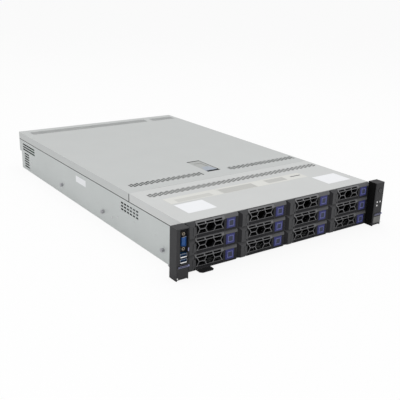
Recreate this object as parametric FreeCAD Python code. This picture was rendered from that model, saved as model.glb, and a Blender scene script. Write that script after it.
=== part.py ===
# Two-unit rack server. Millimetres, +Z up, front towards -Y, +X to the right seen from the front.
# Depths are first laid out from the covers' front edge; every piece is then moved so that the
# origin is the centre of the whole server's footprint, on the surface that it rests on.
import FreeCAD, Part
import math
import os

os.makedirs("parts", exist_ok=True)
V = FreeCAD.Vector

# ---- driving dimensions -------------------------------------------------------------------------
PANEL_WIDTH = 482.0          # over both ears
EAR_HEIGHT = 88.0
CHASSIS_DEPTH = 720.0
EAR_STANDOUT = 24.0          # each ear beyond the chassis's side
EAR_RISE = 1.0               # ears above the covers
EAR_REACH = 22.0             # ears ahead of the covers' front edge
RACK_HOLE_INSET = 8.45       # rack post's hole centres inside the ears' outer edges
RACK_HOLE_HEIGHT = 14.0      # captive screw above the server's underside
SHEET = 1.0                  # sheet steel
REAR_STEP = 11.0             # the lower half of the rear stands this far in
REAR_STEP_DROP = 45.0        # from the covers' top to the step
COVER_FLANGE = 16.0          # the covers' sides reach down this far
COVER_SPLIT = 172.0          # front cover ends, rear cover starts
LAP_GAP = 0.3                # between a cover's side and the wall inside it
SEAM_GAP = 0.4               # open seam between the two covers and along the sides

COLUMNS = 4
ROWS = 3
BAY_MARGIN = 4.0             # width of the chassis that the columns leave
ROW_MARGIN = 2.1             # height that the rows leave
BEZEL_GAP = 0.6              # between neighbouring bezels
BEZEL_FRONT = 6.0            # bezel faces ahead of the covers' front edge
BEZEL_BACK = 3.5             # bezel backs behind that edge
BEZEL_SEAT = 0.4             # full-size part of a bezel ends this far ahead of the edge
BEZEL_SLOPE_HEIGHT = 5.6     # sloped top of every bezel
BEZEL_SLOPE_DEPTH = 3.6
DRIVE_SIDE_ROOM = 2.95       # beside a 3.5 inch drive in its bay
DRIVE_TOP_ROOM = 1.1
DRIVE_LENGTH = 147.0
DRIVE_START = 24.0
RAIL_THICKNESS = 1.2
RAIL_LENGTH = 172.0
TOP_CLEARANCE = 0.3          # carrier body under the cover

LEVER_START = 20.45          # bezel left of the lever's honeycomb part
LEVER_END = 28.45            # bezel right of it, for the button
BEVEL_WIDTH = 8.0            # sloped left edge of every bezel
BEVEL_DEPTH = 4.6
LEVER_THICKNESS = 5.0
LEVER_GAP = 0.4
LEVER_TRIM = 0.2             # lever shorter than the bezel at top and bottom
HINGE_RADIUS = 2.5
HINGE_OFFSET = 2.9           # hinge line to the lever's full-height part
PIN_RADIUS = 1.2
PIN_LENGTH = 2.4
RUNNING_FIT = 0.05
CELL_WINDOW_MARGIN = 1.5
CELL_WINDOW_EDGES = 13.1     # bezel height that the honeycomb leaves
CELL_WIDTH = 17.2            # across flats, cut off at the window's edges
CELL_RIB = 1.2
TOP_ARM = 8.7                # hinge arm above the lever's barrel
BOTTOM_ARM = 3.6

BUTTON_WIDTH = 18.0
BUTTON_EDGES = 10.1          # bezel height that the button leaves
BUTTON_INSET = 15.9          # button's middle inside the bezel's right edge
BUTTON_DROP = 1.0            # button's middle below the bezel's middle
BUTTON_PROUD = 0.6
BUTTON_DEPTH = 5.8
BUTTON_TRAVEL = 1.5
BUTTON_GAP = 0.3

TAG_WIDTH = 42.0
TAG_INSET = 12.0             # tag's left edge inside the chassis's side
TAG_REACH = 19.0
TAG_SHOULDER = 4.6           # full width ends here, the narrower tab goes on
TAG_TAB_INSET = 13.5
TAG_CORNER = 4.0
TAG_LENGTH = 80.0
TAG_THICKNESS = 0.8
TAG_LIFT = 0.2

BACKPLANE_FRONT = 182.0
BOARD_THICKNESS = 1.6
FAN_HEADROOM = 7.0           # chassis height that a fan frame leaves
FAN_DEPTH = 38.0
FAN_COUNT = 3
FAN_MARGIN = 50.0            # chassis width that the fans' places leave
FAN_WALL_DISTANCE = 424.0    # its front to the chassis's rear
FAN_HUB_RADIUS = 18.0
FAN_BORE_WALL = 1.8          # thinnest wall round a fan's bore
FAN_TIP_GAP = 1.2
FAN_BLADES = 5
FAN_BORE_SIDES = 24
FAN_SHAFT_RADIUS = 3.0
BLADE_PITCH = 38.0           # degrees from the plane of the fan

PSU_WIDTH = 86.0
PSU_HEADROOM = 3.4           # from a power supply's height to the rear step's
PSU_LENGTH = 185.0
PSU_SPACING = 5.0            # between the two power supplies
PSU_GAP = 0.6                # power supply to its bay, each side
PSU_HANDLE_REACH = 24.0

STUD_RADIUS = 3.5
STUD_LENGTH = 5.0
STUD_HEIGHT = 21.0
STUD_DEPTHS = (55.0, 273.0, 468.0)

VENT_HEX = 8.8               # across flats
VENT_PITCH = 12.4
LATCH_FRONT = 210.0
LATCH_REAR = 288.0
LATCH_POCKET_HALF = 15.5
LATCH_POCKET_DEPTH = 7.0
LATCH_FINGER_GAP = 11.0
LATCH_THICKNESS = 3.0

# ---- sizes that follow --------------------------------------------------------------------------
RACK_HOLE_SPAN = PANEL_WIDTH - 2 * RACK_HOLE_INSET
CHASSIS_WIDTH = PANEL_WIDTH - 2 * EAR_STANDOUT
CHASSIS_HEIGHT = EAR_HEIGHT - EAR_RISE
REAR_STEP_HEIGHT = CHASSIS_HEIGHT - REAR_STEP_DROP
COLUMN_PITCH = (CHASSIS_WIDTH - BAY_MARGIN) / COLUMNS
ROW_PITCH = (CHASSIS_HEIGHT - ROW_MARGIN) / ROWS
BEZEL_WIDTH = COLUMN_PITCH - BEZEL_GAP
BEZEL_HEIGHT = ROW_PITCH - BEZEL_GAP
DRIVE_WIDTH = COLUMN_PITCH - 2 * DRIVE_SIDE_ROOM
DRIVE_HEIGHT = ROW_PITCH - 2 * DRIVE_TOP_ROOM
LEVER_LEFT = LEVER_START - BEZEL_WIDTH / 2
LEVER_RIGHT = BEZEL_WIDTH / 2 - LEVER_END
CELL_MIDDLE = (LEVER_LEFT + LEVER_RIGHT) / 2
CELL_WINDOW_HALF = (LEVER_RIGHT - LEVER_LEFT) / 2 - CELL_WINDOW_MARGIN
CELL_WINDOW_HEIGHT = BEZEL_HEIGHT - CELL_WINDOW_EDGES
BUTTON_HEIGHT = BEZEL_HEIGHT - BUTTON_EDGES
BUTTON_CENTRE = BEZEL_WIDTH / 2 - BUTTON_INSET
TAG_CENTRE = -CHASSIS_WIDTH / 2 + TAG_INSET + TAG_WIDTH / 2
FAN_SIZE = CHASSIS_HEIGHT - FAN_HEADROOM
FAN_PITCH = (CHASSIS_WIDTH - FAN_MARGIN) / FAN_COUNT
FAN_WALL_FRONT = CHASSIS_DEPTH - FAN_WALL_DISTANCE
FAN_TIP_RADIUS = FAN_SIZE / 2 - FAN_BORE_WALL - FAN_TIP_GAP
PSU_HEIGHT = REAR_STEP_HEIGHT - PSU_HEADROOM
PSU_PITCH = PSU_WIDTH + PSU_SPACING
HALF = CHASSIS_WIDTH / 2
INNER_HALF = HALF - SHEET
SEAM_HEIGHT = CHASSIS_HEIGHT - COVER_FLANGE
UNDER_COVER = CHASSIS_HEIGHT - SHEET
LOWER_REAR = CHASSIS_DEPTH - REAR_STEP
REAR_REACH = max(CHASSIS_DEPTH, LOWER_REAR + PSU_HANDLE_REACH)
EAR_LIP = 1.5                # finger lip at the top of each ear lever
FRONT_REACH = EAR_REACH + EAR_LIP
MID_DEPTH = (REAR_REACH - FRONT_REACH) / 2
BODY_HALF = DRIVE_WIDTH / 2 + RAIL_THICKNESS
TOP_ROW = UNDER_COVER - TOP_CLEARANCE - DRIVE_HEIGHT / 2
BEZEL_TOP = BEZEL_HEIGHT / 2
FACE = -BEZEL_FRONT
HINGE_X = LEVER_LEFT - HINGE_OFFSET
HINGE_Y = FACE + HINGE_RADIUS
LEVER_BACK = FACE + LEVER_THICKNESS
EAR_OUTER = PANEL_WIDTH / 2
EAR_INNER = HALF + 0.4


# ---- shape helpers ------------------------------------------------------------------------------
def box(x0, x1, y0, y1, z0, z1):
    """Block between two corners."""
    return Part.makeBox(x1 - x0, y1 - y0, z1 - z0, V(x0, y0, z0))


def prism(points, along):
    """Flat outline pulled straight along a vector."""
    return Part.Face(Part.makePolygon(points + points[:1])).extrude(along)


def prism_x(outline, x0, x1):
    """Outline of (y, z) points pulled from x0 to x1."""
    return prism([V(x0, y, z) for y, z in outline], V(x1 - x0, 0, 0))


def prism_y(outline, y0, y1):
    """Outline of (x, z) points pulled from y0 to y1."""
    return prism([V(x, y0, z) for x, z in outline], V(0, y1 - y0, 0))


def prism_z(outline, z0, z1):
    """Outline of (x, y) points pulled from z0 to z1."""
    return prism([V(x, y, z0) for x, y in outline], V(0, 0, z1 - z0))


def rod(radius, start, along):
    """Round bar from a point along a vector."""
    return Part.makeCylinder(radius, along.Length, start, along)


def ring_points(radius, count, turn=0.0):
    """Corners of a regular polygon about the origin."""
    steps = [math.radians(turn + 360.0 * i / count) for i in range(count)]
    return [(radius * math.cos(a), radius * math.sin(a)) for a in steps]


def faceted_bar(radius, start, along, sides=6, bore=False):
    """Light stand-in for a thin round bar: its corners, or a bore's flats, lie on the radius."""
    corner = radius / math.cos(math.pi / sides) if bore else radius
    side = along.cross(V(1, 0, 0) if abs(along.x) < abs(along.z) + abs(along.y) else V(0, 0, 1))
    side.normalize()
    up = V(along).normalize().cross(side)
    corners = [start + side * u + up * v for u, v in ring_points(corner, sides, 180.0 / sides)]
    return prism(corners, along)


def hexagon(across_flats, x, y, turn=0.0):
    """Corners of a hexagon of a given width across its flats."""
    corners = ring_points(across_flats / math.sqrt(3), 6, turn)
    return [(x + u, y + v) for u, v in corners]


def join(shapes):
    """One solid from touching shapes."""
    return shapes[0].multiFuse(shapes[1:]).removeSplitter()


def cut(shape, tools):
    """Shape less all the tools."""
    return shape.cut(Part.makeCompound(tools))


def moved(shape, x=0.0, y=0.0, z=0.0):
    """Copy of a shape, shifted."""
    copy = shape.copy()
    copy.translate(V(x, y, z))
    return copy


def mirrored(shape):
    """Copy of a shape on the other side of the server."""
    return shape.mirror(V(0, 0, 0), V(1, 0, 0))


def turned(shape, degrees, axis=V(0, 0, 1)):
    """Copy of a shape turned about an axis through the origin."""
    copy = shape.copy()
    copy.rotate(V(0, 0, 0), axis, degrees)
    return copy


def save(name, *solids):
    """Write one named piece, moved into the server's own frame."""
    piece = solids[0] if len(solids) == 1 else Part.makeCompound(list(solids))
    moved(piece, y=-MID_DEPTH).exportStep(f"parts/{name}.step")


def spread(count, pitch):
    """Evenly pitched places about zero."""
    return [(i - (count - 1) / 2) * pitch for i in range(count)]


# ---- chassis ------------------------------------------------------------------------------------
VENT_COLUMNS = 6
VENT_ROWS = 3
FRONT_VENT = 138.5
FRONT_VENT_PITCH = 11.0
FRONT_VENT_SLOT = 8.4
SIDE_VENT_DROP = 24.0        # lowest row of holes under the covers' seam
SIDE_VENT_PITCH = 6.2
SIDE_VENT_SLOT = 3.6
REAR_VENT_START = 96.0       # vents at the rear, ahead of the chassis's end
REAR_VENT_END = 21.0
LOW_VENT_START = 58.0
LOW_VENT_END = 29.0
REAR_VENT = (CHASSIS_DEPTH - REAR_VENT_START, CHASSIS_DEPTH - REAR_VENT_END)
LOW_VENT = (CHASSIS_DEPTH - LOW_VENT_START, CHASSIS_DEPTH - LOW_VENT_END)
LOW_VENT_BOTTOM = 7.0
LOW_VENT_ROWS = 6
PSU_SIDE_ROOM = 1.5
PSU_OUTER = INNER_HALF - PSU_SIDE_ROOM
PSU_CENTRES = [PSU_OUTER - PSU_WIDTH / 2 - i * PSU_PITCH for i in range(2)]
PSU_FLOOR = SHEET
PORT_PLATE_INSET = 21.0      # its left end inside the chassis's side
PORT_PLATE_GAP = 23.5        # its right end to the power supply beside it
PORT_PLATE = (PORT_PLATE_INSET - HALF, PSU_CENTRES[-1] - PSU_WIDTH / 2 - PORT_PLATE_GAP)
PORT_PLATE_HEIGHT = (6.0, 34.0)
SLOT_GROUP_COUNT = 3
SLOT_GROUP_GAP = 20.0        # between the groups, and left over at the sides
SLOT_HEADROOM = 4.4
SLOT_GAP = 1.9
SLOT_GROUP_PITCH = (CHASSIS_WIDTH - SLOT_GROUP_GAP) / SLOT_GROUP_COUNT
SLOT_WIDTH = SLOT_GROUP_PITCH - SLOT_GROUP_GAP
SLOT_PITCH = (REAR_STEP_DROP - SLOT_HEADROOM) / 2
SLOT_HEIGHT = SLOT_PITCH - SLOT_GAP
SLOT_MARGIN = 1.6            # steel left round each group of slots
FLANGE_BOTTOM = 2.0
FLANGE_DROP = 4.0            # rack flange's top under the ear's


def side_wall():
    """Right wall: steps in under the cover, notched at the rear, rack flange at the front."""
    lip_out = HALF - SHEET - LAP_GAP
    ledge = SEAM_HEIGHT - SEAM_GAP
    section = [
        (HALF, SHEET), (HALF, ledge), (lip_out, ledge), (lip_out, UNDER_COVER),
        (lip_out - SHEET, UNDER_COVER), (lip_out - SHEET, ledge - SHEET),
        (INNER_HALF, ledge - SHEET), (INNER_HALF, SHEET),
    ]
    wall = prism_y(section, 0, CHASSIS_DEPTH)
    notch = box(INNER_HALF - 1, HALF + 1, LOWER_REAR, CHASSIS_DEPTH + 1, 0, REAR_STEP_HEIGHT - SHEET)
    root = box(INNER_HALF, HALF, -SHEET, SHEET, FLANGE_BOTTOM, ledge)
    flange = box(INNER_HALF, EAR_OUTER - SHEET, -SHEET, 0, FLANGE_BOTTOM, ledge)
    upper = box(EAR_INNER, EAR_OUTER - SHEET, -SHEET, 0, FLANGE_BOTTOM, EAR_HEIGHT - FLANGE_DROP)
    vents = [box(INNER_HALF - 1, HALF + 1, *REAR_VENT, low, low + SIDE_VENT_SLOT)
             for low in vent_rows()]
    return cut(join([cut(wall, [notch]), root, flange, upper]), vents + [screw_clearance()])


def vent_rows():
    """Lower edges of the rows of slots under the covers' seam."""
    return [SEAM_HEIGHT - SIDE_VENT_DROP + row * SIDE_VENT_PITCH for row in range(VENT_ROWS)]


def left_vents():
    """The left wall's two further groups: square holes in front, short slots low at the rear."""
    places = [FRONT_VENT + column * FRONT_VENT_PITCH for column in range(VENT_COLUMNS)]
    slots = [box(-HALF - 1, -INNER_HALF + 1, y, y + FRONT_VENT_SLOT, low, low + SIDE_VENT_SLOT)
             for low in vent_rows() for y in places]
    for row in range(LOW_VENT_ROWS):
        low = LOW_VENT_BOTTOM + row * SIDE_VENT_PITCH
        slots.append(box(-HALF - 1, -INNER_HALF + 1, *LOW_VENT, low, low + SIDE_VENT_SLOT))
    return slots


def upper_rear_panel():
    """Shelf over the rear step and the upright panel with the expansion slots."""
    low = REAR_STEP_HEIGHT - SHEET
    outline = [
        (LOWER_REAR - SHEET, low), (CHASSIS_DEPTH, low), (CHASSIS_DEPTH, UNDER_COVER),
        (CHASSIS_DEPTH - SHEET, UNDER_COVER), (CHASSIS_DEPTH - SHEET, REAR_STEP_HEIGHT),
        (LOWER_REAR - SHEET, REAR_STEP_HEIGHT),
    ]
    half = SLOT_WIDTH / 2 - SLOT_MARGIN
    slots = [box(x - half, x + half, CHASSIS_DEPTH - 5, CHASSIS_DEPTH + 5,
                 REAR_STEP_HEIGHT + SLOT_MARGIN, REAR_STEP_HEIGHT + 2 * SLOT_PITCH - SLOT_MARGIN)
             for x in spread(SLOT_GROUP_COUNT, SLOT_GROUP_PITCH)]
    lip_in = HALF - 2 * SHEET - LAP_GAP
    step = box(lip_in, HALF, CHASSIS_DEPTH - 5, CHASSIS_DEPTH + 5,
               SEAM_HEIGHT - SEAM_GAP - SHEET, CHASSIS_HEIGHT)
    return cut(prism_x(outline, -INNER_HALF, INNER_HALF), [step, mirrored(step)] + slots)


def supply_bay_pieces():
    """Walls beside the power supplies and the narrow strips of panel round their bays."""
    front = LOWER_REAR - SHEET
    top = REAR_STEP_HEIGHT - SHEET
    reach = PSU_WIDTH / 2 + PSU_GAP
    bay_top = PSU_FLOOR + PSU_HEIGHT + PSU_GAP
    right, left = PSU_CENTRES
    pieces = [box(x - PSU_PITCH / 2 - SHEET / 2, x - PSU_PITCH / 2 + SHEET / 2,
                  LOWER_REAR - PSU_LENGTH, front, SHEET, top) for x in PSU_CENTRES]
    pieces.append(box(left - reach, INNER_HALF, front, LOWER_REAR, bay_top, top))
    pieces.append(box(left + reach, right - reach, front, LOWER_REAR, SHEET, bay_top))
    pieces.append(box(right + reach, INNER_HALF, front, LOWER_REAR, SHEET, bay_top))
    return pieces


def chassis_tray():
    """Floor pan, side walls with rack flanges, rear panels and the power supplies' bays."""
    pan = box(-HALF, HALF, 0, LOWER_REAR, 0, SHEET)
    right = side_wall()
    left = cut(mirrored(right), left_vents())
    lower = box(-INNER_HALF, PSU_CENTRES[-1] - PSU_WIDTH / 2 - PSU_GAP, LOWER_REAR - SHEET,
                LOWER_REAR, SHEET, REAR_STEP_HEIGHT - SHEET)
    ports = box(*PORT_PLATE, LOWER_REAR - 5, LOWER_REAR + 5, *PORT_PLATE_HEIGHT)
    return [pan, right, left, upper_rear_panel(), cut(lower, [ports])] \
        + supply_bay_pieces()


# ---- covers -------------------------------------------------------------------------------------
def cover_shell(start, end):
    """Flat top with both sides folded down, outside the tray's stepped walls."""
    inside = HALF - SHEET
    outline = [
        (HALF, SEAM_HEIGHT), (HALF, CHASSIS_HEIGHT), (-HALF, CHASSIS_HEIGHT),
        (-HALF, SEAM_HEIGHT), (-inside, SEAM_HEIGHT), (-inside, UNDER_COVER),
        (inside, UNDER_COVER), (inside, SEAM_HEIGHT),
    ]
    return prism_y(outline, start, end)


def hex_row(x0, x1, y):
    """Row of hexagonal vent holes through a cover."""
    count = int((x1 - x0) / VENT_PITCH)
    centre = (x0 + x1) / 2
    return [prism_z(hexagon(VENT_HEX, centre + x, y), UNDER_COVER - 1, CHASSIS_HEIGHT + 1)
            for x in spread(count, VENT_PITCH)]


ROW_LEFT_INSET = 19.5        # rows of holes inside the covers' sides
ROW_RIGHT_INSET = 8.0
ROW_MIDDLE_GAP = 33.0        # rows beside the latch end this far from the middle
ROW_FRONT_DISTANCE = 31.7    # rows' middles to the split between the covers
ROW_REAR_DISTANCE = 35.5
STRIP_BREAK = (98.0, 80.0)   # gap between the rear strips, from the right side
STRIP_START = 49.0           # rear strips ahead of the chassis's end
STRIP_END = 20.0
FRONT_ROW = (ROW_LEFT_INSET - HALF, HALF - ROW_RIGHT_INSET, COVER_SPLIT - ROW_FRONT_DISTANCE)
REAR_ROW_LEFT = (ROW_LEFT_INSET - HALF, -ROW_MIDDLE_GAP, COVER_SPLIT + ROW_REAR_DISTANCE)
REAR_ROW_RIGHT = (ROW_MIDDLE_GAP, HALF - ROW_RIGHT_INSET, COVER_SPLIT + ROW_REAR_DISTANCE)
REAR_STRIPS = ((ROW_LEFT_INSET - HALF, HALF - STRIP_BREAK[0]),
               (HALF - STRIP_BREAK[1], HALF - ROW_LEFT_INSET))
STRIP_DEPTHS = (CHASSIS_DEPTH - STRIP_START, CHASSIS_DEPTH - STRIP_END)
STRIP_SLOT = 28.0
STRIP_PITCH = 32.0


def front_cover():
    """Fixed cover over the drive bays."""
    shell = cover_shell(0, COVER_SPLIT - SEAM_GAP)
    return cut(shell, hex_row(*FRONT_ROW))


def strip_slots():
    """Slots end to end along the rear edge."""
    slots = []
    for x0, x1 in REAR_STRIPS:
        count = int((x1 - x0) / STRIP_PITCH)
        for x in spread(count, STRIP_PITCH):
            left = (x0 + x1) / 2 + x - STRIP_SLOT / 2
            slots.append(box(left, left + STRIP_SLOT, *STRIP_DEPTHS, UNDER_COVER - 1,
                             CHASSIS_HEIGHT + 1))
    return slots


def rear_cover():
    """Lift-off cover with a pressed pocket for its latch."""
    shell = cover_shell(COVER_SPLIT, CHASSIS_DEPTH)
    half = LATCH_POCKET_HALF
    floor = CHASSIS_HEIGHT - LATCH_POCKET_DEPTH
    pocket = box(-half - SHEET, half + SHEET, LATCH_FRONT - SHEET, LATCH_REAR + SHEET,
                 floor - SHEET, CHASSIS_HEIGHT)
    hollow = box(-half, half, LATCH_FRONT, LATCH_REAR, floor, CHASSIS_HEIGHT + 1)
    pin_hole = faceted_bar(PIN_RADIUS + RUNNING_FIT, V(-half - 5, LATCH_PIN_Y, LATCH_PIN_Z),
                           V(2 * half + 10, 0, 0), bore=True)
    holes = hex_row(*REAR_ROW_LEFT) + hex_row(*REAR_ROW_RIGHT) + strip_slots()
    return cut(join([shell, pocket]), [hollow, pin_hole] + holes)


LATCH_BARREL = 2.2
LATCH_PIN_Y = LATCH_REAR - LATCH_BARREL - 0.6
LATCH_PIN_Z = CHASSIS_HEIGHT - LATCH_BARREL - 0.4
LATCH_HALF = LATCH_POCKET_HALF - 0.8


def cover_latch():
    """Flat handle hinged at its rear end, with a cross pin in the pocket's sides."""
    top = LATCH_PIN_Z + LATCH_BARREL
    front = LATCH_FRONT + LATCH_FINGER_GAP
    outline = [
        (front, top - 0.6), (front + 1.2, top), (LATCH_PIN_Y, top),
        (LATCH_PIN_Y, top - LATCH_THICKNESS), (front + 14, top - LATCH_THICKNESS),
        (front + 6, top - 1.6), (front, top - 1.6),
    ]
    plate = prism_x(outline, -LATCH_HALF, LATCH_HALF)
    barrel = rod(LATCH_BARREL, V(-LATCH_HALF, LATCH_PIN_Y, LATCH_PIN_Z), V(2 * LATCH_HALF, 0, 0))
    reach = LATCH_POCKET_HALF + SHEET - 0.1
    pin = faceted_bar(PIN_RADIUS, V(-reach, LATCH_PIN_Y, LATCH_PIN_Z), V(2 * reach, 0, 0))
    thumb = box(-LATCH_HALF + 6, LATCH_HALF - 6, front + 22, LATCH_PIN_Y - 14, top - 0.8, top + 1)
    return cut(join([plate, barrel, pin]), [thumb])


# ---- drive bays ---------------------------------------------------------------------------------
DIVIDER = 1.0
LEDGE = 1.0
LEDGE_REACH = 2.4            # ledges under each carrier's sides
CAGE_START = 6.0
TIE_DEPTH = 8.0
TIE_THICKNESS = 0.8
CAGE_GAP = 0.15
CAGE_HALF = HALF - 2 * SHEET - LAP_GAP - CAGE_GAP


def bay_centres():
    """Column and row middles of all bays, left to right and top to bottom."""
    columns = spread(COLUMNS, COLUMN_PITCH)
    rows = [TOP_ROW - i * ROW_PITCH for i in range(ROWS)]
    return [(x, z) for z in rows for x in columns]


def bay_sides(x):
    """Inner faces of the two dividers beside one column."""
    edge = CAGE_HALF - DIVIDER / 2
    left = max(x - COLUMN_PITCH / 2, -edge)
    right = min(x + COLUMN_PITCH / 2, edge)
    return left + DIVIDER / 2, right - DIVIDER / 2


def cage_ledges(x, z):
    """Ledges under both sides of one carrier."""
    top = z - DRIVE_HEIGHT / 2 - CAGE_GAP
    inner = BODY_HALF - LEDGE_REACH
    left, right = bay_sides(x)
    return [box(left, x - inner, CAGE_START, BACKPLANE_FRONT, top - LEDGE, top),
            box(x + inner, right, CAGE_START, BACKPLANE_FRONT, top - LEDGE, top)]


def drive_cage():
    """Upright dividers, the ledges that the carriers slide on, and strips that tie them."""
    edge = CAGE_HALF - DIVIDER / 2
    middles = [-edge] + spread(COLUMNS - 1, COLUMN_PITCH) + [edge]
    walls = [box(x - DIVIDER / 2, x + DIVIDER / 2, CAGE_START, BACKPLANE_FRONT, SHEET,
                 UNDER_COVER - CAGE_GAP) for x in middles]
    ledges = [ledge for x, z in bay_centres() for ledge in cage_ledges(x, z)]
    ties = [box(*bay_sides(x), BACKPLANE_FRONT - TIE_DEPTH, BACKPLANE_FRONT, SHEET,
                SHEET + TIE_THICKNESS) for x in spread(COLUMNS, COLUMN_PITCH)]
    return walls + ledges + ties


def bezel_profile():
    """Side outline of a carrier's front: upright face, sloped top."""
    return [
        (FACE, -BEZEL_TOP), (FACE, BEZEL_TOP - BEZEL_SLOPE_HEIGHT),
        (FACE + BEZEL_SLOPE_DEPTH, BEZEL_TOP), (BEZEL_BACK, BEZEL_TOP), (BEZEL_BACK, -BEZEL_TOP),
    ]


def hinge_arm(z0, z1):
    """Arm beside the lever's barrel, rounded about the hinge line."""
    nose = [(HINGE_X + HINGE_RADIUS * math.cos(a), HINGE_Y + HINGE_RADIUS * math.sin(a))
            for a in [math.radians(d) for d in (-90, -45, 0, 45, 90)]]
    start = HINGE_X - HINGE_OFFSET
    plan = [(start, FACE)] + nose + [(HINGE_X, BEZEL_BACK), (start, BEZEL_BACK)]
    return prism_z(plan, z0, z1)


def carrier_bezel():
    """Front frame: bevelled left edge, flat panel, hinge arms, tie bars, button housing."""
    left = -BEZEL_WIDTH / 2
    right = BEZEL_WIDTH / 2
    panel_end = HINGE_X - HINGE_RADIUS - LEVER_GAP
    plan_left = [(left, FACE + BEVEL_DEPTH), (left + BEVEL_WIDTH, FACE), (panel_end, FACE),
                 (panel_end, BEZEL_BACK), (left, BEZEL_BACK)]
    block_left = prism_z(plan_left, -BEZEL_TOP, BEZEL_TOP)
    housing = LEVER_RIGHT + LEVER_GAP
    plan_right = [(housing, FACE), (right - 1.6, FACE), (right, FACE + 1.6),
                  (right, BEZEL_BACK), (housing, BEZEL_BACK)]
    block_right = prism_z(plan_right, -BEZEL_TOP, BEZEL_TOP)
    bar_front = LEVER_BACK + LEVER_GAP
    span = (panel_end - 1, housing + 1)
    top_bar = box(*span, bar_front, BEZEL_BACK, BEZEL_TOP - 3, BEZEL_TOP)
    bottom_bar = box(*span, bar_front, BEZEL_BACK, -BEZEL_TOP, -BEZEL_TOP + 3)
    arms = [hinge_arm(BEZEL_TOP - TOP_ARM, BEZEL_TOP), hinge_arm(-BEZEL_TOP, -BEZEL_TOP + BOTTOM_ARM)]
    frame = join([block_left, block_right, top_bar, bottom_bar] + arms)
    plug = box(-BODY_HALF, BODY_HALF, -BEZEL_SEAT, BEZEL_BACK, -DRIVE_HEIGHT / 2, DRIVE_HEIGHT / 2)
    front = box(left, right, FACE, -BEZEL_SEAT, -BEZEL_TOP, BEZEL_TOP)
    frame = frame.common(prism_x(bezel_profile(), left, right)).common(join([plug, front]))
    reach_x = BUTTON_WIDTH / 2 + BUTTON_GAP
    reach_z = BUTTON_HEIGHT / 2 + BUTTON_GAP
    pocket = box(BUTTON_CENTRE - reach_x, BUTTON_CENTRE + reach_x, FACE - 1,
                 FACE - BUTTON_PROUD + BUTTON_DEPTH + BUTTON_TRAVEL + BUTTON_GAP,
                 -BUTTON_DROP - reach_z, -BUTTON_DROP + reach_z)
    bore = PIN_RADIUS + RUNNING_FIT
    barrel_top = BEZEL_TOP - TOP_ARM
    barrel_low = -BEZEL_TOP + BOTTOM_ARM
    holes = [faceted_bar(bore, V(HINGE_X, HINGE_Y, barrel_top - 1), V(0, 0, PIN_LENGTH + 1.3),
                         bore=True),
             faceted_bar(bore, V(HINGE_X, HINGE_Y, barrel_low + 1), V(0, 0, -PIN_LENGTH - 1.3),
                         bore=True)]
    return cut(frame, [pocket] + holes)


def carrier_frame():
    """Bezel and the two side rails that hold the drive."""
    rail = box(DRIVE_WIDTH / 2, BODY_HALF, BEZEL_BACK - 0.5, RAIL_LENGTH, -DRIVE_HEIGHT / 2,
               DRIVE_HEIGHT / 2)
    return join([carrier_bezel(), rail, mirrored(rail)])


def hard_drive():
    """Drive body, lower at its connector end."""
    half = DRIVE_WIDTH / 2
    low = -DRIVE_HEIGHT / 2
    end = DRIVE_START + DRIVE_LENGTH
    outline = [(DRIVE_START, low), (end, low), (end, -low - 5), (end - 16, -low - 5),
               (end - 16, -low), (DRIVE_START, -low)]
    return prism_x(outline, -half, half)


def lever_cells():
    """Honeycomb openings, clipped to the lever's window."""
    window = box(CELL_MIDDLE - CELL_WINDOW_HALF, CELL_MIDDLE + CELL_WINDOW_HALF, FACE - 1,
                 LEVER_BACK + 1, -CELL_WINDOW_HEIGHT / 2, CELL_WINDOW_HEIGHT / 2)
    pitch = CELL_WIDTH + CELL_RIB
    column_pitch = pitch * math.sqrt(3) / 2
    cells = []
    for column in range(-2, 3):
        centres = (0,) if column % 2 == 0 else (-pitch / 2, pitch / 2)
        for z in centres:
            corners = hexagon(CELL_WIDTH, CELL_MIDDLE + column * column_pitch, z)
            cells.append(prism_y(corners, FACE - 2, LEVER_BACK + 2).common(window))
    return cells


def eject_lever():
    """Honeycomb lever: sloped band on top, barrel and pin stubs at the left end."""
    low = -BEZEL_TOP + LEVER_TRIM
    body = prism_x(bezel_profile(), LEVER_LEFT, LEVER_RIGHT)
    body = body.common(box(LEVER_LEFT, LEVER_RIGHT, FACE, LEVER_BACK, low, BEZEL_TOP - LEVER_TRIM))
    barrel_low = -BEZEL_TOP + BOTTOM_ARM + LEVER_GAP / 2
    barrel_top = BEZEL_TOP - TOP_ARM - LEVER_GAP / 2
    neck = box(HINGE_X, LEVER_LEFT, FACE, LEVER_BACK, barrel_low, barrel_top)
    barrel = rod(HINGE_RADIUS, V(HINGE_X, HINGE_Y, barrel_low), V(0, 0, barrel_top - barrel_low))
    pin = faceted_bar(PIN_RADIUS, V(HINGE_X, HINGE_Y, barrel_low - PIN_LENGTH),
                      V(0, 0, barrel_top - barrel_low + 2 * PIN_LENGTH))
    return cut(join([body, neck, barrel, pin]), lever_cells())


def release_button():
    """Square push button, its face a little proud of the bezel."""
    half_x = BUTTON_WIDTH / 2
    half_z = BUTTON_HEIGHT / 2
    front = FACE - BUTTON_PROUD
    bevel = 0.8
    plan = [(BUTTON_CENTRE - half_x + bevel, front), (BUTTON_CENTRE + half_x - bevel, front),
            (BUTTON_CENTRE + half_x, front + bevel), (BUTTON_CENTRE + half_x, front + BUTTON_DEPTH),
            (BUTTON_CENTRE - half_x, front + BUTTON_DEPTH), (BUTTON_CENTRE - half_x, front + bevel)]
    return prism_z(plan, -BUTTON_DROP - half_z, -BUTTON_DROP + half_z)


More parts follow.
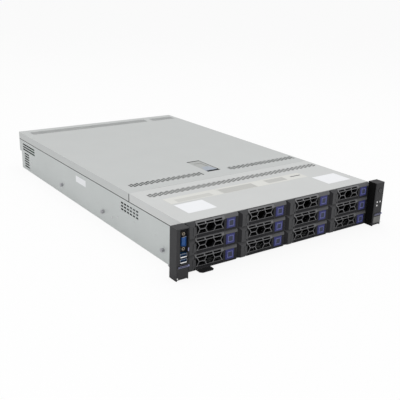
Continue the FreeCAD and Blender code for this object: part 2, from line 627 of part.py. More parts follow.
def information_tag():
    """Thin pull-out strip; ahead of its shoulder it is a narrower tab with cut corners."""
    left = TAG_CENTRE - TAG_WIDTH / 2
    right = TAG_CENTRE + TAG_WIDTH / 2
    tab = left + TAG_TAB_INSET
    plan = [(left, -TAG_SHOULDER), (tab, -TAG_SHOULDER), (tab, -TAG_REACH + TAG_CORNER),
            (tab + TAG_CORNER, -TAG_REACH), (right - TAG_CORNER, -TAG_REACH),
            (right, -TAG_REACH + TAG_CORNER), (right, TAG_LENGTH - TAG_REACH),
            (left, TAG_LENGTH - TAG_REACH)]
    low = SHEET + TAG_LIFT
    return prism_z(plan, low, low + TAG_THICKNESS)


# ---- ears ---------------------------------------------------------------------------------------
EAR_WALL = 1.5
BAY_TOP = 25.6               # top of the lever's bay in an ear
RECESS_TOP = 86.4
RECESS_DEPTH = 8.4
RECESS_MARGIN = 6.0          # ear left outside the recess
SHELF = 2.4                  # between the lever's bay and the recess above it
EAR_PIN_Z = 4.4
EAR_PIN_RADIUS = 1.5
EAR_HINGE_RADIUS = 4.0
EAR_LEVER_GAP = 0.3
EAR_LEVER_THICKNESS = 9.0
EAR_LEVER_SHOULDER = 0.8     # back edge cut lower, so that it turns past the shelf above
BAY_BACK = 5.0               # wall behind the lever's bay
SCREW_HOLE_RADIUS = 3.2
POWER_Z = EAR_HEIGHT - 15.5
POWER_RADIUS = 4.6
POWER_GAP = 0.35
POWER_TRAVEL = 1.5
POWER_PROUD = 0.5
POWER_DEPTH = 6.0
POWER_SIDES = 16
LIGHT_PLACES = [(x, z) for x in (-4.2, 4.2) for z in (42.0, 49.0)]
LIGHT_HALF = 1.6
LIGHT_DEPTH = 0.6
EAR_MID = (EAR_INNER + EAR_OUTER) / 2
EAR_PIN_Y = -EAR_REACH + EAR_HINGE_RADIUS


def screw_clearance():
    """Way for the right-hand captive screw through the ear and the tray's flange."""
    start = V(RACK_HOLE_SPAN / 2, -EAR_REACH, RACK_HOLE_HEIGHT)
    return faceted_bar(SCREW_HOLE_RADIUS, start, V(0, EAR_REACH + 5, 0), bore=True)


def ear_blank():
    """Right-hand ear with the bay for its lever, the pin's holes and the screw's hole."""
    bevel = 1.5
    plan = [(EAR_INNER, -SHEET), (EAR_INNER, -EAR_REACH + bevel), (EAR_INNER + bevel, -EAR_REACH),
            (EAR_OUTER - bevel, -EAR_REACH), (EAR_OUTER, -EAR_REACH + bevel), (EAR_OUTER, -SHEET)]
    blank = prism_z(plan, 0, EAR_HEIGHT)
    bay = box(EAR_INNER + EAR_WALL, EAR_OUTER - EAR_WALL, -EAR_REACH - 1, -BAY_BACK, -1, BAY_TOP)
    pin_hole = faceted_bar(EAR_PIN_RADIUS + RUNNING_FIT, V(EAR_INNER - 1, EAR_PIN_Y, EAR_PIN_Z),
                           V(EAR_OUTER - EAR_INNER + 2, 0, 0), bore=True)
    return cut(blank, [bay, pin_hole, screw_clearance()])


def left_ear():
    """Ear with a deep recess for the front sockets."""
    recess = box(EAR_INNER + EAR_WALL, EAR_OUTER - RECESS_MARGIN, -EAR_REACH - 1,
                 -EAR_REACH + RECESS_DEPTH, BAY_TOP + SHELF, RECESS_TOP)
    return mirrored(ear_blank().cut(recess))


def right_ear():
    """Ear with a flush panel for the power button and four light windows."""
    travel = POWER_TRAVEL + POWER_GAP
    hole = faceted_bar(POWER_RADIUS + POWER_GAP, V(EAR_MID, -EAR_REACH - 1, POWER_Z),
                       V(0, POWER_DEPTH + 1 + travel, 0), POWER_SIDES, bore=True)
    lights = [box(EAR_MID + x - LIGHT_HALF, EAR_MID + x + LIGHT_HALF, -EAR_REACH - 1,
                  -EAR_REACH + LIGHT_DEPTH, z - LIGHT_HALF, z + LIGHT_HALF)
              for x, z in LIGHT_PLACES]
    return cut(ear_blank(), [hole] + lights)


def power_button():
    """Round push button."""
    front = V(EAR_MID, -EAR_REACH - POWER_PROUD, POWER_Z)
    return faceted_bar(POWER_RADIUS, front, V(0, POWER_DEPTH, 0), POWER_SIDES)


def ear_lever():
    """Right-hand flip-down lever: rounded foot on its pin, finger lip at the top."""
    left = EAR_INNER + EAR_WALL + EAR_LEVER_GAP
    right = EAR_OUTER - EAR_WALL - EAR_LEVER_GAP
    top = BAY_TOP - EAR_LEVER_GAP
    back = -EAR_REACH + EAR_LEVER_THICKNESS
    side = [(-EAR_REACH, EAR_PIN_Z), (-EAR_REACH, top), (back - 3, top),
            (back, top - EAR_LEVER_SHOULDER), (back, EAR_PIN_Z)]
    block = prism_x(side, left, right)
    foot = rod(EAR_HINGE_RADIUS, V(left, EAR_PIN_Y, EAR_PIN_Z), V(right - left, 0, 0))
    lip_outline = [(-EAR_REACH, top - 3.4), (-EAR_REACH - EAR_LIP, top - 2.2),
                   (-EAR_REACH - EAR_LIP, top), (-EAR_REACH, top)]
    lip = prism_x(lip_outline, left, right)
    relief = box(left + 2, right - 2, back - 4, back + 1, EAR_PIN_Z + 6, top - 2)
    pin = faceted_bar(EAR_PIN_RADIUS, V(EAR_INNER + 0.2, EAR_PIN_Y, EAR_PIN_Z),
                      V(EAR_OUTER - EAR_INNER - 0.2, 0, 0))
    return join([block.cut(relief), foot, lip, pin])


# ---- cooling ------------------------------------------------------------------------------------
FAN_Z = UNDER_COVER - 1 - FAN_SIZE / 2
STRUT_DEPTH = 4.0


def fan_frame(centre):
    """Square duct with a round bore, a motor seat behind and four struts."""
    half = FAN_SIZE / 2
    end = FAN_WALL_FRONT + FAN_DEPTH
    bore = FAN_TIP_RADIUS + FAN_TIP_GAP
    duct = box(centre - half, centre + half, FAN_WALL_FRONT, end, FAN_Z - half, FAN_Z + half)
    duct = duct.cut(faceted_bar(bore, V(centre, FAN_WALL_FRONT - 1, FAN_Z),
                                V(0, FAN_DEPTH + 2, 0), FAN_BORE_SIDES, bore=True))
    struts = [box(centre - bore - 1, centre + bore + 1, end - STRUT_DEPTH, end, FAN_Z - 2, FAN_Z + 2),
              box(centre - 2, centre + 2, end - STRUT_DEPTH, end, FAN_Z - bore - 1, FAN_Z + bore + 1)]
    seat_plan = [(centre + x, FAN_Z + z) for x, z in ring_points(FAN_HUB_RADIUS - 2, 12)]
    seat = prism_y(seat_plan, end - STRUT_DEPTH, end)
    shaft_hole = faceted_bar(FAN_SHAFT_RADIUS + RUNNING_FIT,
                             V(centre, end - STRUT_DEPTH - 1, FAN_Z), V(0, STRUT_DEPTH + 2, 0),
                             bore=True)
    return cut(join([duct, seat] + struts), [shaft_hole])


def fan_wall():
    """Three fan frames in a folded bulkhead that reaches both side walls."""
    reach = CAGE_HALF
    top = UNDER_COVER - CAGE_GAP
    plate = box(-reach, reach, FAN_WALL_FRONT, FAN_WALL_FRONT + SHEET, SHEET, top)
    foot = box(-reach, reach, FAN_WALL_FRONT, FAN_WALL_FRONT + FAN_DEPTH, SHEET, FAN_Z - FAN_SIZE / 2)
    centres = spread(FAN_COUNT, FAN_PITCH)
    bore = FAN_TIP_RADIUS + FAN_TIP_GAP
    holes = [faceted_bar(bore, V(x, FAN_WALL_FRONT - 1, FAN_Z), V(0, SHEET + 2, 0),
                         FAN_BORE_SIDES, bore=True) for x in centres]
    return join([cut(join([plate, foot]), holes)] + [fan_frame(x) for x in centres])


def fan_rotor(centre):
    """Faceted hub with pitched flat blades and a shaft in the frame's seat."""
    gap = 0.6
    front = FAN_WALL_FRONT + 5
    back = FAN_WALL_FRONT + FAN_DEPTH - STRUT_DEPTH - gap
    middle = (front + back) / 2
    hub = prism_y(ring_points(FAN_HUB_RADIUS, 2 * FAN_BLADES), front, back)
    half_chord = 12.0
    tip = math.sqrt(FAN_TIP_RADIUS ** 2 - half_chord ** 2)
    blade = box(-half_chord, half_chord, -0.7, 0.7, FAN_HUB_RADIUS - 3, tip)
    blade.rotate(V(0, 0, 0), V(0, 0, 1), BLADE_PITCH)
    blade.translate(V(0, middle, 0))
    blades = [turned(blade, 360.0 * i / FAN_BLADES, V(0, 1, 0)) for i in range(FAN_BLADES)]
    shaft = rod(FAN_SHAFT_RADIUS, V(0, middle, 0), V(0, back - middle + gap + STRUT_DEPTH - 0.5, 0))
    return moved(join([hub, shaft] + blades), x=centre, z=FAN_Z)


# ---- electronics --------------------------------------------------------------------------------
BOARD_LEVEL = 6.0
BOARD_FAN_GAP = 16.0
BOARD_SUPPLY_GAP = 4.0
BOARD_SIDE_ROOM = 6.0
BOARD_PORT_MARGIN = 10.0
PROCESSOR_INSET = 114.0      # processors' middles inside the board's sides
SINK_SETBACK = 35.0          # from the board's front edge
MODULE_SETBACK = 18.0
BOARD_FRONT = FAN_WALL_FRONT + FAN_DEPTH + BOARD_FAN_GAP
BOARD_NOTCH = LOWER_REAR - PSU_LENGTH - BOARD_SUPPLY_GAP  # behind it come the power supplies
BOARD_REAR = LOWER_REAR - 2 * SHEET
BOARD_HALF = INNER_HALF - BOARD_SIDE_ROOM
BOARD_RIGHT = PORT_PLATE[1] + BOARD_PORT_MARGIN
SOCKET_CENTRES = (PROCESSOR_INSET - BOARD_HALF, BOARD_HALF - PROCESSOR_INSET)
SINK_FRONT = BOARD_FRONT + SINK_SETBACK
SINK_DEPTH = 100.0
SINK_WIDTH = 84.0
SINK_HEADROOM = 18.0
SINK_BASE = 9.0
SINK_TOP = UNDER_COVER - SINK_HEADROOM
FIN_COUNT = 10
FIN_THICKNESS = 2.0
MODULE_LENGTH = 133.0
MODULE_HEIGHT = 31.0
MODULE_PITCH = 8.6
MODULE_COUNT = 4
MODULE_SINK_GAP = 22.0       # bank of modules to the heatsink beside it
MODULE_THICKNESS = 1.4
MODULE_FRONT = BOARD_FRONT + MODULE_SETBACK
BOARD_TOP = BOARD_LEVEL + BOARD_THICKNESS
STANDOFF_RADIUS = 3.0


def motherboard():
    """Main board, cut back beside the power supplies."""
    plan = [(-BOARD_HALF, BOARD_FRONT), (BOARD_HALF, BOARD_FRONT), (BOARD_HALF, BOARD_NOTCH),
            (BOARD_RIGHT, BOARD_NOTCH), (BOARD_RIGHT, BOARD_REAR), (-BOARD_HALF, BOARD_REAR)]
    return prism_z(plan, BOARD_LEVEL, BOARD_TOP)


def backplane():
    """Drive board with an air window behind each column of bays."""
    board = box(-CAGE_HALF, CAGE_HALF, BACKPLANE_FRONT, BACKPLANE_FRONT + BOARD_THICKNESS, SHEET,
                UNDER_COVER - 1)
    half = BODY_HALF - 15
    windows = [box(x - half, x + half, BACKPLANE_FRONT - 1, BACKPLANE_FRONT + 3, TOP_ROW - ROW_PITCH,
                   TOP_ROW + DRIVE_HEIGHT / 4) for x in spread(COLUMNS, COLUMN_PITCH)]
    return board.cut(Part.makeCompound(windows))


def memory_modules():
    """Upright modules in four banks beside the processors."""
    modules = []
    for socket in SOCKET_CENTRES:
        for side in (-1, 1):
            bank = socket + side * (SINK_WIDTH / 2 + MODULE_SINK_GAP)
            for x in spread(MODULE_COUNT, MODULE_PITCH):
                left = bank + x - MODULE_THICKNESS / 2
                modules.append(box(left, left + MODULE_THICKNESS, MODULE_FRONT,
                                   MODULE_FRONT + MODULE_LENGTH, BOARD_TOP,
                                   BOARD_TOP + MODULE_HEIGHT))
    return modules


RISER_HEIGHT = UNDER_COVER - 2
RISER_START = 145.0          # risers ahead of the chassis's end
RISER_END = 20.0
RISER_DEPTHS = (CHASSIS_DEPTH - RISER_START, CHASSIS_DEPTH - RISER_END)


def riser_boards():
    """Two upright boards that carry the expansion slots."""
    places = spread(SLOT_GROUP_COUNT, SLOT_GROUP_PITCH)
    edge = SLOT_WIDTH / 2 + CAGE_SIDE + 2
    return [box(x - edge - BOARD_THICKNESS, x - edge, *RISER_DEPTHS, BOARD_TOP, RISER_HEIGHT)
            for x in places[:2]]


def heatsink(centre):
    """Base block with upright fins along the air's path."""
    half = SINK_WIDTH / 2
    pitch = (SINK_WIDTH - FIN_THICKNESS) / (FIN_COUNT - 1)
    base = BOARD_TOP + SINK_BASE
    outline = [(centre - half, BOARD_TOP)]
    for i in range(FIN_COUNT):
        left = centre - half + i * pitch
        right = left + FIN_THICKNESS
        outline += [(left, base), (left, SINK_TOP), (right, SINK_TOP), (right, base)]
    outline = [outline[0]] + outline[2:-1] + [(centre + half, BOARD_TOP)]
    return prism_y(outline, SINK_FRONT, SINK_FRONT + SINK_DEPTH)


CAGE_SIDE = 1.2
CARD_DEPTH = 150.0


def expansion_cage(centre):
    """Open cage behind one group of slots."""
    half = SLOT_WIDTH / 2
    front = CHASSIS_DEPTH - SHEET - CARD_DEPTH
    rear = CHASSIS_DEPTH - SHEET
    low = REAR_STEP_HEIGHT
    top = REAR_STEP_HEIGHT + 2 * SLOT_PITCH + 0.8
    floor = box(centre - half, centre + half, front, rear, low, low + CAGE_SIDE)
    left = box(centre - half - CAGE_SIDE, centre - half, front, rear, low, top)
    right = box(centre + half, centre + half + CAGE_SIDE, front, rear, low, top)
    middle = low + SLOT_PITCH
    shelf = box(centre - half, centre + half, rear - 14, rear, middle, middle + CAGE_SIDE)
    return join([floor, left, right, shelf])


def slot_bracket(centre, level):
    """Blank bracket with a row of vent slots."""
    half = SLOT_WIDTH / 2 - SLOT_MARGIN - CAGE_GAP
    low = REAR_STEP_HEIGHT + SLOT_MARGIN + CAGE_GAP + level * (SLOT_PITCH - SLOT_MARGIN)
    plate = box(centre - half, centre + half, CHASSIS_DEPTH - SHEET, CHASSIS_DEPTH, low,
                low + SLOT_HEIGHT - SLOT_MARGIN)
    vents = [box(centre + x - 18, centre + x + 18, CHASSIS_DEPTH - 5, CHASSIS_DEPTH + 5, low + 4,
                 low + SLOT_HEIGHT - SLOT_MARGIN - 4) for x in spread(2, 44)]
    return cut(plate, vents)


# ---- sockets ------------------------------------------------------------------------------------
USB_WIDTH = 13.1
USB_HEIGHT = 5.7
USB_DEPTH = 16.0
USB_WALL = 0.4
VGA_LONG = 17.0
VGA_SHORT = 8.4
VGA_POST_SPAN = 25.0
NETWORK_WIDTH = 16.0
NETWORK_HEIGHT = 14.0
NETWORK_DEPTH = 19.0


def usb_socket(depth):
    """Metal shell, mouth towards -Y at y = 0, with a tongue inside."""
    half_x = USB_WIDTH / 2
    half_z = USB_HEIGHT / 2
    shell = box(-half_x, half_x, 0, depth, -half_z, half_z)
    hollow = box(-half_x + USB_WALL, half_x - USB_WALL, -1, depth - 1.5, -half_z + USB_WALL,
                 half_z - USB_WALL)
    tongue = box(-half_x + 1.1, half_x - 1.1, 1, depth - 1, 0, 1.9)
    return join([shell.cut(hollow), tongue])


def vga_socket():
    """Upright D shell on a flange with two hexagonal posts; mouth towards -Y at y = 0."""
    long = VGA_LONG / 2
    short = VGA_SHORT / 2
    outer = [(-short, -long + 1.2), (short, -long), (short, long), (-short, long - 1.2)]
    inner = [(-short + 0.5, -long + 1.8), (short - 0.5, -long + 0.6),
             (short - 0.5, long - 0.6), (-short + 0.5, long - 1.8)]
    shell = prism_y(outer, 0, 7).cut(prism_y(inner, -1, 5.4))
    flange = box(-6.2, 6.2, 6, 7, -15.4, 15.4)
    insert = prism_y([(x * 0.9, z * 0.94) for x, z in inner], 0.8, 6)
    posts = [prism_y(hexagon(4.8, 0, z), 1.5, 6) for z in (-VGA_POST_SPAN / 2, VGA_POST_SPAN / 2)]
    return join([shell, flange, insert] + posts)


def network_socket():
    """Square metal socket with a stepped mouth; mouth towards -Y at y = 0."""
    half = NETWORK_WIDTH / 2
    block = box(-half, half, 0, NETWORK_DEPTH, 0, NETWORK_HEIGHT)
    mouth = box(-5.9, 5.9, -1, 13, 4.4, 12.4)
    notch = box(-3.1, 3.1, -1, 8, 2, 5)
    return cut(block, [mouth, notch])


PORT_STEP = 18.0             # between neighbouring sockets
NETWORK_INSET = 40.0         # inside the port plate's right end
SERVICE_INSET = 20.0         # inside its left end
REAR_USB_INSET = 46.0
REAR_VGA_INSET = 104.0
PORT_PROUD = 0.6
NETWORK_PLACES = (PORT_PLATE[1] - NETWORK_INSET - PORT_STEP, PORT_PLATE[1] - NETWORK_INSET,
                  PORT_PLATE[0] + SERVICE_INSET)
REAR_USB_PLACES = (PORT_PLATE[0] + REAR_USB_INSET, PORT_PLATE[0] + REAR_USB_INSET + PORT_STEP)
REAR_VGA_PLACE = PORT_PLATE[0] + REAR_VGA_INSET
PORT_FACE = LOWER_REAR + PORT_PROUD
FRONT_USB_HEIGHTS = (32.8, 42.2)
FRONT_VGA_HEIGHT = 65.3
FRONT_PORT_SETBACK = 1.6
FRONT_PORT_FACE = FRONT_PORT_SETBACK - EAR_REACH


def front_sockets():
    """Sockets in the left ear's recess."""
    recess_floor = -EAR_REACH + RECESS_DEPTH
    usb = usb_socket(recess_floor - FRONT_PORT_FACE)
    middle = -(EAR_INNER + EAR_WALL + EAR_OUTER - RECESS_MARGIN) / 2
    solids = [moved(usb, middle, FRONT_PORT_FACE, z) for z in FRONT_USB_HEIGHTS]
    return solids + [moved(vga_socket(), middle, recess_floor - 7, FRONT_VGA_HEIGHT)]


def faced_rear(socket, x, z):
    """Socket turned to face the rear, standing at the port plate."""
    return moved(turned(socket, 180), x, PORT_FACE, z)


def rear_sockets():
    """Port plate with its sockets."""
    x0, x1 = PORT_PLATE
    z0, z1 = PORT_PLATE_HEIGHT
    plate = box(x0 + CAGE_GAP, x1 - CAGE_GAP, LOWER_REAR - SHEET, LOWER_REAR, z0, z1 - CAGE_GAP)
    solids = []
    holes = []
    for x in NETWORK_PLACES:
        solids.append(faced_rear(network_socket(), x, BOARD_TOP))
        holes.append(box(x - NETWORK_WIDTH / 2, x + NETWORK_WIDTH / 2, LOWER_REAR - 2,
                         LOWER_REAR + 2, BOARD_TOP, BOARD_TOP + NETWORK_HEIGHT))
    for x in REAR_USB_PLACES:
        for z in (BOARD_TOP + USB_HEIGHT / 2 + 0.4, BOARD_TOP + USB_HEIGHT * 1.5 + 2.4):
            solids.append(faced_rear(usb_socket(USB_DEPTH), x, z))
            holes.append(box(x - USB_WIDTH / 2, x + USB_WIDTH / 2, LOWER_REAR - 2, LOWER_REAR + 2,
                             z - USB_HEIGHT / 2, z + USB_HEIGHT / 2))
    lying_vga = turned(turned(vga_socket(), 90, V(0, 1, 0)), 180)
    solids.append(moved(lying_vga, REAR_VGA_PLACE, LOWER_REAR + 7, BOARD_TOP + 8))
    return [cut(plate, holes)] + solids


# ---- power supplies -----------------------------------------------------------------------------
HANDLE_WIDTH = 30.0
HANDLE_HEIGHT = 24.0
HANDLE_BAR = 3.0
INLET_WIDTH = 27.6
INLET_HEIGHT = 20.0
INLET_DEPTH = 16.0
LATCH_TAB_WIDTH = 9.0


def supply_handle():
    """Upright loop handle standing out of the rear face."""
    half = HANDLE_BAR / 2
    reach = PSU_HANDLE_REACH
    outline = [
        (0, HANDLE_HEIGHT / 2), (reach - 3, HANDLE_HEIGHT / 2), (reach, HANDLE_HEIGHT / 2 - 3),
        (reach, -HANDLE_HEIGHT / 2 + 3), (reach - 3, -HANDLE_HEIGHT / 2), (0, -HANDLE_HEIGHT / 2),
        (0, -HANDLE_HEIGHT / 2 + HANDLE_BAR),
        (reach - HANDLE_BAR - 1, -HANDLE_HEIGHT / 2 + HANDLE_BAR),
        (reach - HANDLE_BAR, -HANDLE_HEIGHT / 2 + HANDLE_BAR + 1),
        (reach - HANDLE_BAR, HANDLE_HEIGHT / 2 - HANDLE_BAR - 1),
        (reach - HANDLE_BAR - 1, HANDLE_HEIGHT / 2 - HANDLE_BAR),
        (0, HANDLE_HEIGHT / 2 - HANDLE_BAR),
    ]
    return prism_x(outline, -half - 3, half + 3)


def power_supply(centre):
    """Box with an inlet recess and pins, a handle and a seat for its latch."""
    half = PSU_WIDTH / 2
    low = PSU_FLOOR + CAGE_GAP / 2
    mid = low + PSU_HEIGHT / 2
    body = box(-half, half, LOWER_REAR - PSU_LENGTH, LOWER_REAR, low, low + PSU_HEIGHT)
    inlet_x = -half + 20
    inlet = [(inlet_x - INLET_WIDTH / 2, mid - INLET_HEIGHT / 2),
             (inlet_x + INLET_WIDTH / 2, mid - INLET_HEIGHT / 2),
             (inlet_x + INLET_WIDTH / 2, mid + INLET_HEIGHT / 2 - 5),
             (inlet_x + INLET_WIDTH / 2 - 5, mid + INLET_HEIGHT / 2),
             (inlet_x - INLET_WIDTH / 2 + 5, mid + INLET_HEIGHT / 2),
             (inlet_x - INLET_WIDTH / 2, mid + INLET_HEIGHT / 2 - 5)]
    recess = prism_y(inlet, LOWER_REAR - INLET_DEPTH, LOWER_REAR + 1)
    seat = box(half - 4 - LATCH_TAB_WIDTH, half - 1.2, LOWER_REAR - 7, LOWER_REAR + 1,
               mid - 6 - EAR_LEVER_GAP, mid + 6 + EAR_LEVER_GAP)
    handle = moved(supply_handle(), x=HANDLE_PLACE, y=LOWER_REAR, z=mid)
    pins = [box(inlet_x + x - 1, inlet_x + x + 1, LOWER_REAR - INLET_DEPTH - 1, LOWER_REAR - 4,
                mid + z - 2, mid + z + 2) for x, z in ((-7, 0), (0, 4), (7, 0))]
    return moved(join([cut(body, [recess, seat]), handle] + pins), x=centre)


HANDLE_PLACE = -2.0


def supply_latch(centre):
    """Thumb tab that slides sideways to free the power supply."""
    half = PSU_WIDTH / 2
    mid = PSU_FLOOR + CAGE_GAP / 2 + PSU_HEIGHT / 2
    right = half - 1.2 - EAR_LEVER_GAP
    left = right - LATCH_TAB_WIDTH
    plate = box(left, right, LOWER_REAR - 6, LOWER_REAR - 0.5, mid - 6, mid + 6)
    tab_outline = [(LOWER_REAR - 0.5, mid - 5), (LOWER_REAR + 9, mid - 4), (LOWER_REAR + 9, mid + 4),
                   (LOWER_REAR - 0.5, mid + 5)]
    tab = prism_x(tab_outline, right - 3, right)
    return moved(join([plate, tab]), x=centre)


# ---- fasteners ----------------------------------------------------------------------------------
RACK_SCREW_RADIUS = 2.5
RACK_SCREW_REACH = 12.0
SCREW_SHOULDER_RADIUS = 2.9
SCREW_HEAD_RADIUS = 5.0


def rail_studs():
    """Shoulder studs that hang in the slide rails, three on each side."""
    studs = []
    for y in STUD_DEPTHS:
        stud = rod(STUD_RADIUS, V(HALF, y, STUD_HEIGHT), V(STUD_LENGTH, 0, 0))
        studs += [stud, mirrored(stud)]
    return studs


def rack_screws():
    """Captive screws behind the ear levers."""
    x = RACK_HOLE_SPAN / 2
    head = faceted_bar(SCREW_HEAD_RADIUS, V(x, -BAY_BACK - 4, RACK_HOLE_HEIGHT), V(0, 4, 0), 12)
    shoulder = faceted_bar(SCREW_SHOULDER_RADIUS, V(x, -BAY_BACK - 1, RACK_HOLE_HEIGHT),
                           V(0, BAY_BACK + 1, 0))
    shank = rod(RACK_SCREW_RADIUS, V(x, -1, RACK_HOLE_HEIGHT), V(0, 1 + RACK_SCREW_REACH, 0))
    screw = join([head, shoulder, shank])
    return [screw, mirrored(screw)]


def standoffs():
    """Posts between the tray's floor and the main board."""
    side = BOARD_HALF - 12
    places = [(x, y) for y in (BOARD_FRONT + 12, BOARD_NOTCH - 12) for x in (-side, side)]
    places += [(x, BOARD_REAR - 12) for x in (-side, BOARD_RIGHT - 12)]
    return [prism_z(hexagon(2 * STANDOFF_RADIUS, x, y), SHEET, BOARD_LEVEL) for x, y in places]


# ---- build --------------------------------------------------------------------------------------
def build():
    """Write every piece."""
    save("chassis_tray", *chassis_tray())
    save("front_cover", front_cover())
    save("rear_cover", rear_cover())
    save("cover_latch", cover_latch())
    save("drive_cage", *drive_cage())
    save("information_tag", information_tag())
    frame, drive, lever, button = carrier_frame(), hard_drive(), eject_lever(), release_button()
    for number, (x, z) in enumerate(bay_centres(), start=1):
        save(f"drive_carrier_{number}", moved(frame, x, 0, z), moved(drive, x, 0, z))
        save(f"eject_lever_{number}", moved(lever, x, 0, z))
        save(f"release_button_{number}", moved(button, x, 0, z))
    save("left_ear", left_ear())
    save("right_ear", right_ear())
    save("right_ear_lever", ear_lever())
    save("left_ear_lever", mirrored(ear_lever()))
    save("power_button", power_button())
    save("fan_wall", fan_wall())
    for number, x in enumerate(spread(FAN_COUNT, FAN_PITCH), start=1):
        save(f"fan_rotor_{number}", fan_rotor(x))
    save("circuit_boards", motherboard(), backplane(), *memory_modules(), *riser_boards())
    save("heatsinks", *[heatsink(x) for x in SOCKET_CENTRES])
    groups = spread(SLOT_GROUP_COUNT, SLOT_GROUP_PITCH)
    brackets = [slot_bracket(x, level) for x in groups for level in range(2)]
    save("expansion_cages", *[expansion_cage(x) for x in groups], *brackets)
    save("port_sockets", *front_sockets(), *rear_sockets())
    for number, x in enumerate(PSU_CENTRES, start=1):
        save(f"power_supply_{number}", power_supply(x))
        save(f"power_supply_latch_{number}", supply_latch(x))
    save("studs_and_screws", *rail_studs(), *rack_screws(), *standoffs())


build()
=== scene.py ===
# %% [markdown]
# # Dressing a two-unit rack server
# The solids of this server come from a CAD program, so sizes, joints and bodies are settled.
# This script gives them their looks: sheet steel with real perforations, moulded plastic,
# sockets, bare labels, circuit boards, and then a floor, lights and a camera.
# Every new piece rides on a CAD body, so that it moves with the drawer, lever or fan it sits on.

import math

import bmesh
import bpy
from mathutils import Matrix, Vector


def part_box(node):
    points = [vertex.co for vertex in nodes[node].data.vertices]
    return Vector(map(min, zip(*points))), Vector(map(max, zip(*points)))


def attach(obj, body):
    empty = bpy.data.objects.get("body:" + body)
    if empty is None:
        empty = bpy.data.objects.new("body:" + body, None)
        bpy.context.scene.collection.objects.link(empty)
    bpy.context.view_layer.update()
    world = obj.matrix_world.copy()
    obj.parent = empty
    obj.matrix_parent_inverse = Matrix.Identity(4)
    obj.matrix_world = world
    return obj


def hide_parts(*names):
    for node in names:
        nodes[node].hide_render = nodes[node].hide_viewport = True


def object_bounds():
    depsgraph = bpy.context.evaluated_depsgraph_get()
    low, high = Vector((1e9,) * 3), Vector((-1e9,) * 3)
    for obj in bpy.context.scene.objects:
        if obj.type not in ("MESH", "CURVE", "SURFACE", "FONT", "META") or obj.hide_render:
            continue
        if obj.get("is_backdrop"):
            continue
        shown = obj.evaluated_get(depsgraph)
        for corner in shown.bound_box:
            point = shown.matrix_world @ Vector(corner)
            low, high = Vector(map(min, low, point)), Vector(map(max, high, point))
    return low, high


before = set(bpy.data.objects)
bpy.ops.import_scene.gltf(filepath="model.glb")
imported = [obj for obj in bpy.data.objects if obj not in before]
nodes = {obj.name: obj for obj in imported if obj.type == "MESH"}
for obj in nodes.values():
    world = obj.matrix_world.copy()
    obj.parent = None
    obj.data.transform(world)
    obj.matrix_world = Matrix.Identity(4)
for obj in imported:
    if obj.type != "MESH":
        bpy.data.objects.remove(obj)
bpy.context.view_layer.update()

# %% [markdown]
# Server drawings are dimensioned in millimetres from the covers' front edge, with x to the
# right and z up. One small function turns such a place into the frame's metres, and another
# turns a mesh face's centre back into drawing millimetres.

# %% Places in drawing millimetres
MM = 0.001
FRONT_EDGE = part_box("front_cover")[0].y


def at(x, y, z):
    """Point from drawing millimetres."""
    return Vector((x * MM, FRONT_EDGE + y * MM, z * MM))


def drawing(point):
    """Drawing millimetres from a point."""
    return point.x / MM, (point.y - FRONT_EDGE) / MM, point.z / MM


def box_mm(node):
    """A node's two corners in drawing millimetres."""
    low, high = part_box(node)
    return drawing(low), drawing(high)


TOP = box_mm("front_cover")[1][2]
SIDE = box_mm("front_cover")[1][0]
SPLIT = box_mm("rear_cover")[0][1]
REAR = box_mm("rear_cover")[1][1]
print(f"covers: top {TOP:.1f}, side {SIDE:.1f}, split {SPLIT:.1f}, rear {REAR:.1f} mm")

# %% [markdown]
# ## Node trees
# Materials, the world and Geometry Nodes are all trees of nodes. Building one by hand takes a
# line for each node, each setting and each link, so two small helpers do it: a value is set and
# a socket is linked in the same way.


# %% Small helpers for node trees
def fill(tree, node, values):
    """Set or link a node's inputs."""
    for key, value in values.items():
        socket = node.inputs[key]
        if isinstance(value, bpy.types.NodeSocket):
            tree.links.new(value, socket)
        else:
            socket.default_value = value


def add(tree, kind, values=None, **settings):
    """Outputs of a new node with its settings and its inputs filled."""
    node = tree.nodes.new(kind)
    for key, value in settings.items():
        setattr(node, key, value)
    fill(tree, node, values or {})
    return node.outputs


def maths(tree, operation, a, b=0.0):
    """Math node's result."""
    return add(tree, "ShaderNodeMath", {0: a, 1: b}, operation=operation)[0]


# %% [markdown]
# ## Finishes
# Real sheet and plastic are never one flat colour. Each finish is a Principled shader whose
# base colour drifts a little with a large soft noise, whose roughness follows a finer one, and
# whose surface has a faint bump. All three read Object coordinates: the pieces keep their
# place in their mesh, so the pattern stays put when a drawer slides.


# %% Rubbed edges
RUB_RADIUS = 0.6 * MM


def rubbed(tree, colours, wear, patches):
    """Mix a paler colour in where the surface turns sharply, in patches."""
    edge = add(tree, "ShaderNodeBevel", {"Radius": RUB_RADIUS}, samples=4)["Normal"]
    flat = add(tree, "ShaderNodeNewGeometry")["Normal"]
    turn = add(tree, "ShaderNodeVectorMath", {0: edge, 1: flat}, operation="DOT_PRODUCT")["Value"]
    sharp = add(tree, "ShaderNodeMapRange", {"Value": turn, "From Min": 0.98, "From Max": 0.85})
    share = maths(tree, "MULTIPLY", sharp["Result"], patches)
    return add(tree, "ShaderNodeMix", {"Factor": share, "A": colours, "B": (*wear, 1)},
               data_type="RGBA")["Result"]


# %% One function for every finish
BROAD, PATCHY = 14.0, 260.0
BUMP_DEPTH = 0.3 * MM


